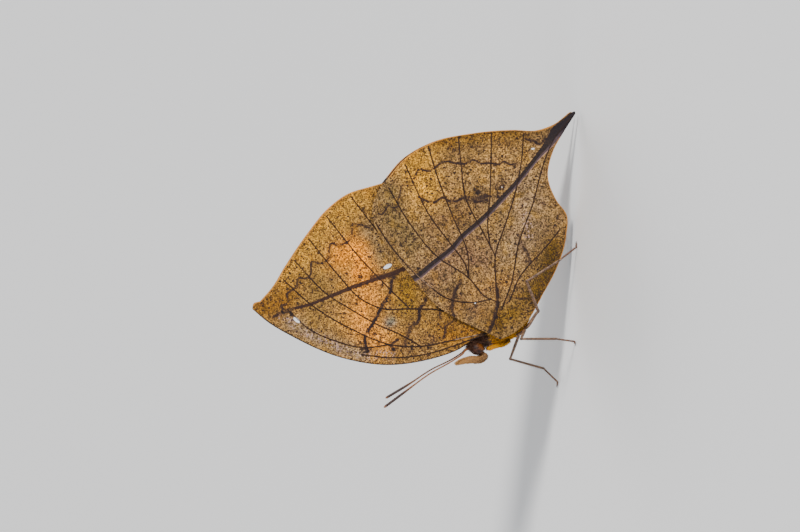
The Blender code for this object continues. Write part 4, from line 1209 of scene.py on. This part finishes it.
def vein_tubes(name, sign, wing, slot):
    """The wing's veins as tapering tubes half sunk in the outer face, paler near one run, which on the
    hindwing is a painted highlight.
    """
    tubes = []
    for number, line in enumerate(wing["veins"].values()):
        path = spaced_line(line, 0.3)
        path = stand(path, sign * (wing["place"](path) + MEMBRANE / 2 + 0.05))
        thick = VEIN_ROOT_RADIUS * (0.7 if number else 1.0)
        tubes.append(tube_rings(path, np.linspace(thick, VEIN_TIP_RADIUS, len(path)), 6))
    vertices, faces = joined_tubes(tubes)
    piece = new_piece(name, vertices, faces, VEIN_FINISH, slot=slot)
    pale_run = distance_to_line(vertices[:, [0, 2]], np.array(wing["pale_run"]))
    write_attribute(piece, "pale", ease(1.6 - pale_run / 0.3))


def vein_finish():
    """Brown scales, paler in places where the pale attribute says so; on the hindwing's front edge this is a
    painted highlight.
    """
    finish, shader, dye = new_finish("vein_scales", 0.7, Specular_IOR_Level=0.25)
    cloud = dye.noise(dye.millimetres(), 0.7)
    brown = cloud.between(0.35, 0.65).tint(screen((0.17, 0.10, 0.09)), screen((0.29, 0.18, 0.12)))
    # paler near the pale run: on the hindwing a painted highlight
    paled = dye.attribute("pale") * cloud.between(0.3, 0.5)
    paint(dye, shader, paled.tint(brown, screen((0.66, 0.57, 0.48))))
    return finish


def make_wings(kind, finish, wing):
    """The membrane and the veins of the left wing and the right one."""
    for word, sign in SIDES.items():
        make_wing(f"{kind}_{word}_membrane", sign, finish, wing, f"{kind}_scales")
        vein_tubes(f"{kind}_{word}_veins", sign, wing, f"{kind}_scales")


FOREWING = {
    "edges": FOREWING_EDGES, "centre": FOREWING_CENTRE, "place": forewing_place, "veins": FOREWING_VEINS,
    "margins": ("costa", "outer"), "lines": FOREWING_LINES, "rings": [], "midrib": FOREWING_MIDRIB,
    "midrib_width": lambda along: 0.27 + 0.22 * ease(1.1 - along),
    "dark_spots": FOREWING_DARK_SPOTS, "pale_spots": FOREWING_PALE_SPOTS, "frost": FOREWING_FROST,
    "pale_run": [(-15.2, 19.4), (-16.2, 23.0)], "ground": FOREWING_GROUND, "tints": FOREWING_TINTS,
    "band_grey": 0.0, "costal_dark": 1.0, "upper": forewing_upper,
}
VEIN_FINISH = vein_finish()
FOREWING_FINISH = wing_finish("forewing_scaling", (0.25, 0.13, 0.12), (0.3, 0.2, 0.18), 0.3)

make_wings("forewing", FOREWING_FINISH, FOREWING)

# Hindwings
# The hindwings lie outside the forewings and end in a tail, the leaf's stem. Their dark midrib
# band carries on the one of the forewings, and two small eye spots sit beside it.

HINDWING_CENTRE = (1.0, 20.5)

HINDWING_EDGES = {
    "costal": [(-15.2, 15.9), (-14.4, 17.9), (-12.9, 21.4), (-9.9, 27.0), (-4.7, 32.2), (-0.8, 35.5),
               (4.2, 39.6), (8.0, 41.2), (12.4, 40.3), (14.9, 38.6)],
    "outer": [(14.9, 38.6), (19.4, 35.0), (23.0, 29.3), (25.2, 21.2), (26.2, 13.1), (26.3, 8.6),
              (27.9, 4.3), (30.4, 1.3)],
    "tail": [(30.4, 1.3), (30.5, 0.9), (30.1, 0.7)],
    "inner": [(30.1, 0.7), (26.2, 3.0), (22.2, 5.0), (17.1, 5.8), (12.7, 4.0), (9.5, 1.6), (5.4, 1.6),
              (-1.0, 3.3), (-6.8, 6.1), (-11.2, 8.4)],
    "lobe": [(-11.2, 8.4), (-13.4, 10.2), (-15.0, 12.5), (-15.8, 14.6), (-15.2, 15.9)],
}

HINDWING_VEINS = {
    "main": [(-13.4, 16.5), (-9.8, 15.2), (-4.0, 15.6), (0.8, 15.9), (6.3, 14.4), (13.5, 12.4),
             (21.2, 11.3), (25.4, 11.2)],
    "radial": [(-8.4, 15.2), (-7.6, 17.3), (-3.8, 21.1), (0.2, 27.7), (7.1, 33.9), (13.5, 38.1)],
    "costal": [(-7.9, 16.4), (-8.7, 20.0), (-8.0, 25.5), (-5.6, 29.2), (3.1, 38.1), (6.4, 40.4)],
    "first": [(-3.8, 21.1), (-1.2, 21.9), (2.4, 24.7), (7.8, 29.2), (18.3, 35.0)],
    "second": [(-3.8, 21.1), (0.5, 21.4), (8.6, 25.0), (16.1, 28.3), (22.1, 30.4)],
    "third": [(0.8, 15.9), (5.3, 18.5), (12.5, 22.5), (18.7, 23.6), (24.1, 24.4)],
    "hind": [(2.5, 17.0), (6.9, 17.7), (12.6, 17.5), (25.4, 17.7)],
    "tail": [(-10.0, 14.4), (-3.9, 12.3), (3.2, 11.3), (11.9, 8.6), (19.1, 7.0), (24.6, 5.0), (29.4, 1.5)],
    "inner": [(-8.2, 12.8), (-3.6, 11.0), (3.0, 5.8), (6.7, 2.9)],
}

HINDWING_LINES = [
    ([(15.5, 33.0), (17.3, 32.1), (17.2, 29.8), (17.8, 29.0), (19.1, 27.3), (19.3, 26.3), (19.0, 25.0),
      (19.1, 22.4), (19.8, 21.0), (19.2, 19.8), (19.3, 17.5), (19.2, 15.9), (19.8, 14.9), (19.3, 14.0),
      (19.4, 12.1)], 0.23, 0.95),
    ([(14.1, 33.5), (14.1, 34.6), (13.9, 35.4), (12.9, 35.6), (11.6, 35.9), (10.7, 36.2)], 0.2, 0.7),
    ([(9.8, 36.0), (9.5, 37.0), (9.9, 38.0), (9.0, 38.5), (8.1, 39.2), (8.2, 39.9)], 0.22, 0.85),
    ([(11.9, 31.8), (11.2, 30.2), (11.1, 28.5), (12.0, 27.1), (11.5, 25.9), (11.4, 24.3), (12.2, 22.2),
      (11.6, 21.1), (11.5, 19.6), (12.0, 18.0)], 0.26, 0.95),
    ([(12.9, 16.9), (12.6, 15.6), (13.0, 14.4)], 0.16, 0.5),
    ([(20.8, 25.9), (21.4, 25.1), (22.0, 23.1), (22.5, 22.1), (22.5, 19.3), (23.3, 17.7), (23.3, 15.9),
      (23.5, 14.1), (23.9, 12.9)], 0.28, 0.4),
    ([(24.6, 10.9), (24.2, 10.1), (24.2, 8.8), (23.6, 8.3), (23.7, 7.6), (24.8, 6.6)], 0.24, 0.85),
    ([(22.1, 10.8), (21.9, 9.3)], 0.22, 0.5),
    ([(5.4, 11.5), (4.0, 10.8), (2.6, 10.2), (1.4, 9.3), (-0.3, 8.7)], 0.34, 0.75),
    ([(12.2, 22.4), (11.9, 21.0), (12.2, 19.6), (12.8, 18.3)], 0.5, 0.8),
    ([(-7.3, 13.3), (-7.5, 11.0), (-7.3, 8.1), (-7.0, 6.3)], 0.22, 0.6),
    ([(-4.3, 22.6), (-6.8, 23.8), (-8.4, 24.1), (-9.8, 24.2), (-11.7, 23.8)], 0.36, 0.85),
    # the thick dark root of the main vein, darkened further as painted shade in the crease where the wing
    # meets the body
    ([(-5.5, 15.3), (-8.0, 15.1), (-10.0, 15.3), (-11.6, 15.8), (-13.2, 16.4), (-14.4, 16.9)], 0.42, 1.0),
    ([(-9.2, 19.6), (-11.8, 19.5)], 0.18, 0.5),
]
HINDWING_MIDRIB = [(30.3, 0.8), (28.3, 2.3), (25.9, 4.6), (23.6, 6.1), (20.9, 8.2), (17.8, 10.5),
                   (14.9, 12.7), (12.4, 14.9), (9.4, 17.5), (6.8, 20.1), (4.2, 22.9), (2.1, 24.5),
                   (-0.3, 27.2), (-2.1, 29.3), (-3.7, 31.0), (-4.4, 32.2)]
HINDWING_DARK_SPOTS = [
    ((13.4, 19.9), 0.62, 0.7, 1.0), ((13.9, 20.6), 0.55, 0.5, 0.8), ((12.7, 29.4), 0.22, 0.22, 0.8),
    ((13.3, 25.3), 0.22, 0.22, 0.8),
    ((10.1, 33.0), 0.22, 0.22, 0.8), ((14.2, 15.4), 0.35, 0.3, 0.45), ((24.0, 8.5), 0.5, 0.5, 0.7),
]
# the third pale spot, near the root, is a painted glint
HINDWING_PALE_SPOTS = [((14.6, 15.1), 0.15, 0.15, 0.9), ((22.6, 9.1), 0.28, 0.55, 0.7),
                       ((-8.8, 19.6), 0.22, 0.22, 0.7)]

# each ring of the small eye spot: its middle, radius, half width and darkness
HINDWING_RINGS = [((14.6, 15.1), 0.42, 0.18, 0.9), ((14.6, 15.1), 1.25, 0.14, 0.45)]

# a short run of lilac white scales towards the inner edge
HINDWING_FROST = [(9.0, 9.8), (4.4, 9.2)]

# the tints are partly the leaf's pattern and partly painted light: lighter towards the outer margin, where
# the light falls, and darker towards the root
HINDWING_GROUND = (0.61, 0.47, 0.32)
HINDWING_TINTS = [
    # bright ochre field under the outer margin, golden brown margin, brown corner of the front edge
    ([(14.0, 30.5), (20.0, 33.5)], 4.2, (0.78, 0.61, 0.30), 0.9),
    ([(23.5, 28.5), (25.3, 21.0), (25.8, 13.0)], 3.2, (0.56, 0.38, 0.05), 0.9),
    ([(12.4, 37.5), (8.0, 37.0), (3.0, 33.0)], 2.4, (0.53, 0.41, 0.26), 0.85),
    # pale field between the wavy lines, brown inside them, a shade round the large eye spot
    ([(15.5, 25.0), (21.0, 14.5)], 3.4, (0.68, 0.53, 0.35), 0.75),
    ([(6.5, 28.5), (9.0, 22.5)], 2.4, (0.53, 0.37, 0.22), 0.7),
    ([(12.0, 19.0), (13.4, 19.8)], 1.6, (0.46, 0.34, 0.24), 0.6),
    # mauve beside the midrib's root, grey mauve field towards the inner edge, golden brown inner edge
    ([(-4.5, 28.5), (0.5, 24.5), (0.0, 18.5)], 3.2, (0.55, 0.40, 0.30), 0.8),
    ([(14.0, 9.5), (5.0, 9.8), (2.5, 12.5)], 3.4, (0.62, 0.50, 0.40), 0.85),
    ([(3.0, 4.3), (-2.0, 5.2), (-7.0, 8.0)], 3.2, (0.41, 0.27, 0.05), 0.95),
    # golden brown lobe, brown root of the front edge, ochre between the veins at the root
    ([(-10.5, 12.0), (-12.3, 15.5)], 3.0, (0.51, 0.35, 0.10), 0.9),
    ([(-10.0, 18.5), (-9.3, 24.0)], 2.5, (0.52, 0.36, 0.22), 0.75),
    ([(-4.0, 12.8), (-6.2, 19.8)], 1.9, (0.62, 0.45, 0.27), 0.7),
    # dark stem
    ([(27.0, 3.6), (29.8, 1.4)], 2.3, (0.23, 0.16, 0.16), 1.0),
]


def hindwing_place(points):
    """The hindwing's sideways distance: outside the forewing, and clear of thorax and abdomen.

    Below the forewing's root, at its lobe, it comes back in towards the thorax.
    """
    rest = FOREWING_OFFSET + LAYER_SPACING
    thorax = np.array([NECK + 1.5 * TAILWARD, NECK + 9.2 * TAILWARD])
    abdomen = BODY_LINE[BODY_ALONG > 9.5][::8]
    lifts = [
        (forewing_place(points) - FOREWING_OFFSET) * ease((points[:, 1] - 12.6) / 2.6),
        side_lift(points, thorax, 1.8, 7.0, 1.14),
        side_lift(points, abdomen, 1.3, 5.0, 0.64),
    ]
    return rest + np.max(lifts, axis=0)


def hindwing_upper(points):
    """The upper side: deep blue, browner towards the outer and inner margins."""
    away = np.linalg.norm(points - np.array((2.0, 22.0)), axis=1)
    brown = ease((away - 14.0) / 8.0)[:, None]
    return screen((0.12, 0.17, 0.38)) * (1 - brown) + screen((0.30, 0.22, 0.17)) * brown


HINDWING = {
    "edges": HINDWING_EDGES, "centre": HINDWING_CENTRE, "place": hindwing_place, "veins": HINDWING_VEINS,
    "margins": ("costal", "inner"), "lines": HINDWING_LINES, "rings": HINDWING_RINGS,
    "midrib": HINDWING_MIDRIB,
    "midrib_width": lambda along: 0.56 + 1.0 * ease((0.28 - along) / 0.24) + 0.1 * ease((along - 0.7) / 0.3),
    "dark_spots": HINDWING_DARK_SPOTS, "pale_spots": HINDWING_PALE_SPOTS, "frost": HINDWING_FROST,
    # the pale run on the hindwing is a painted highlight along its front edge, where the edge catches the
    # light
    "pale_run": [(-6.0, 28.8), (-0.6, 34.3)], "ground": HINDWING_GROUND, "tints": HINDWING_TINTS,
    "band_grey": 1.0, "costal_dark": 0.0, "upper": hindwing_upper,
}
HINDWING_FINISH = wing_finish("hindwing_scaling", (0.15, 0.11, 0.14), (0.39, 0.32, 0.35), 0.0)

make_wings("hindwing", HINDWING_FINISH, HINDWING)

# Studio
# A wide pale floor, large soft lights on both sides of the camera and behind the animal, and a long
# lens. The camera is turned on its side, so that the floor stands upright at the picture's right.

FLOOR_REACH = (60.0, 300.0, 1500.0, 7000.0)
FLOOR_COLUMNS = 96
FLOOR_DROP = 0.05


def make_floor():
    """A disc of four rings of points round a middle point, just under the feet."""
    finish, shader, dye = new_finish("studio_floor", 0.9)
    cloud = dye.noise(dye.millimetres(), 60.0)
    paint(dye, shader, cloud.tint(screen((0.86, 0.86, 0.85)), screen((0.89, 0.89, 0.88))))
    turn = round_turns(FLOOR_COLUMNS)
    reach = np.array(FLOOR_REACH)[:, None]
    flat = np.stack([reach * np.cos(turn), reach * np.sin(turn)], -1).reshape(-1, 2)
    vertices = np.column_stack([np.concatenate([flat, [[0.0, 0.0]]]), np.full(len(flat) + 1, -FLOOR_DROP)])
    middle = [(len(flat), k, (k + 1) % FLOOR_COLUMNS) for k in range(FLOOR_COLUMNS)]
    outside = [face[::-1] for face in grid_faces(len(FLOOR_REACH), FLOOR_COLUMNS).tolist()]
    mesh = bpy.data.meshes.new("studio_floor")
    mesh.from_pydata((vertices * 0.001).tolist(), [], outside + middle)
    mesh.materials.append(finish)
    floor = bpy.data.objects.new("studio_floor", mesh)
    bpy.context.scene.collection.objects.link(floor)


def aim(thing, place, target, roll_axis=(0.0, 0.0, 1.0)):
    """Puts a lamp or camera at a place in metres, looking at the target, with its up along roll_axis."""
    forward = unit(np.asarray(target, float) - np.asarray(place, float))
    right = unit(np.cross(forward, roll_axis))
    up = np.cross(right, forward)
    turned = np.column_stack([right, up, -forward, place])
    thing.matrix_world = Matrix([*turned.tolist(), [0.0, 0.0, 0.0, 1.0]])


def make_lamp(name, place, kind, strength, width, tone=(1.0, 1.0, 1.0)):
    """A soft lamp aimed at the animal: SUN with its angular width in degrees, or a DISK in metres."""
    lamp = bpy.data.lights.new(name, kind)
    if kind == "SUN":
        lamp.angle = math.radians(width)
    else:
        lamp.shape = "DISK"
        lamp.size = width
    lamp.energy = strength
    lamp.color = tone
    holder = bpy.data.objects.new(name, lamp)
    bpy.context.scene.collection.objects.link(holder)
    aim(holder, place, (0.0, 0.0, 0.03))


def make_studio():
    """The floor, three lamps and an even pale blue air."""
    make_floor()
    make_lamp("key_lamp", (0.6, -0.62, 0.62), "SUN", 3.3, 16.0, (1.0, 0.98, 0.95))
    make_lamp("fill_lamp", (-0.7, -0.6, 0.45), "AREA", 1.6, 0.9)
    make_lamp("back_lamp", (0.1, 0.9, 0.5), "SUN", 1.1, 30.0)
    world = bpy.data.worlds.new("studio_air")
    world.use_nodes = True
    world.node_tree.nodes["Background"].inputs["Color"].default_value = (0.92, 0.95, 1.0, 1.0)
    world.node_tree.nodes["Background"].inputs["Strength"].default_value = 0.45
    bpy.context.scene.world = world


# The lens looks along +Y, a little down onto the floor. A pixel of the 800 x 532 picture is 0.2 mm
# at the animal, and the picture's up leans a little from +X towards +Z. The middle is in metres.
ELEVATION = math.radians(9.0)
UP_LEAN = 0.042
PICTURE_WIDTH = 160.0
LENS = 180.0
SENSOR = 36.0
PICTURE_MIDDLE = np.array([-0.00202, 0.0, 0.03481])


def make_camera():
    """A camera as far off as the lens needs to take in the picture's width."""
    camera = bpy.data.objects.new("camera", bpy.data.cameras.new("camera"))
    camera.data.lens = LENS
    camera.data.sensor_width = SENSOR
    distance = PICTURE_WIDTH * LENS / SENSOR * 0.001
    camera.data.clip_start = 0.01
    forward = np.array([0.0, math.cos(ELEVATION), -math.sin(ELEVATION)])
    raised = np.array([0.0, math.sin(ELEVATION), math.cos(ELEVATION)])
    picture_up = unit(np.array([1.0, 0.0, 0.0]) + UP_LEAN * raised)
    aim(camera, PICTURE_MIDDLE - forward * distance, PICTURE_MIDDLE, picture_up)
    bpy.context.scene.collection.objects.link(camera)
    bpy.context.scene.camera = camera


make_studio()
make_camera()
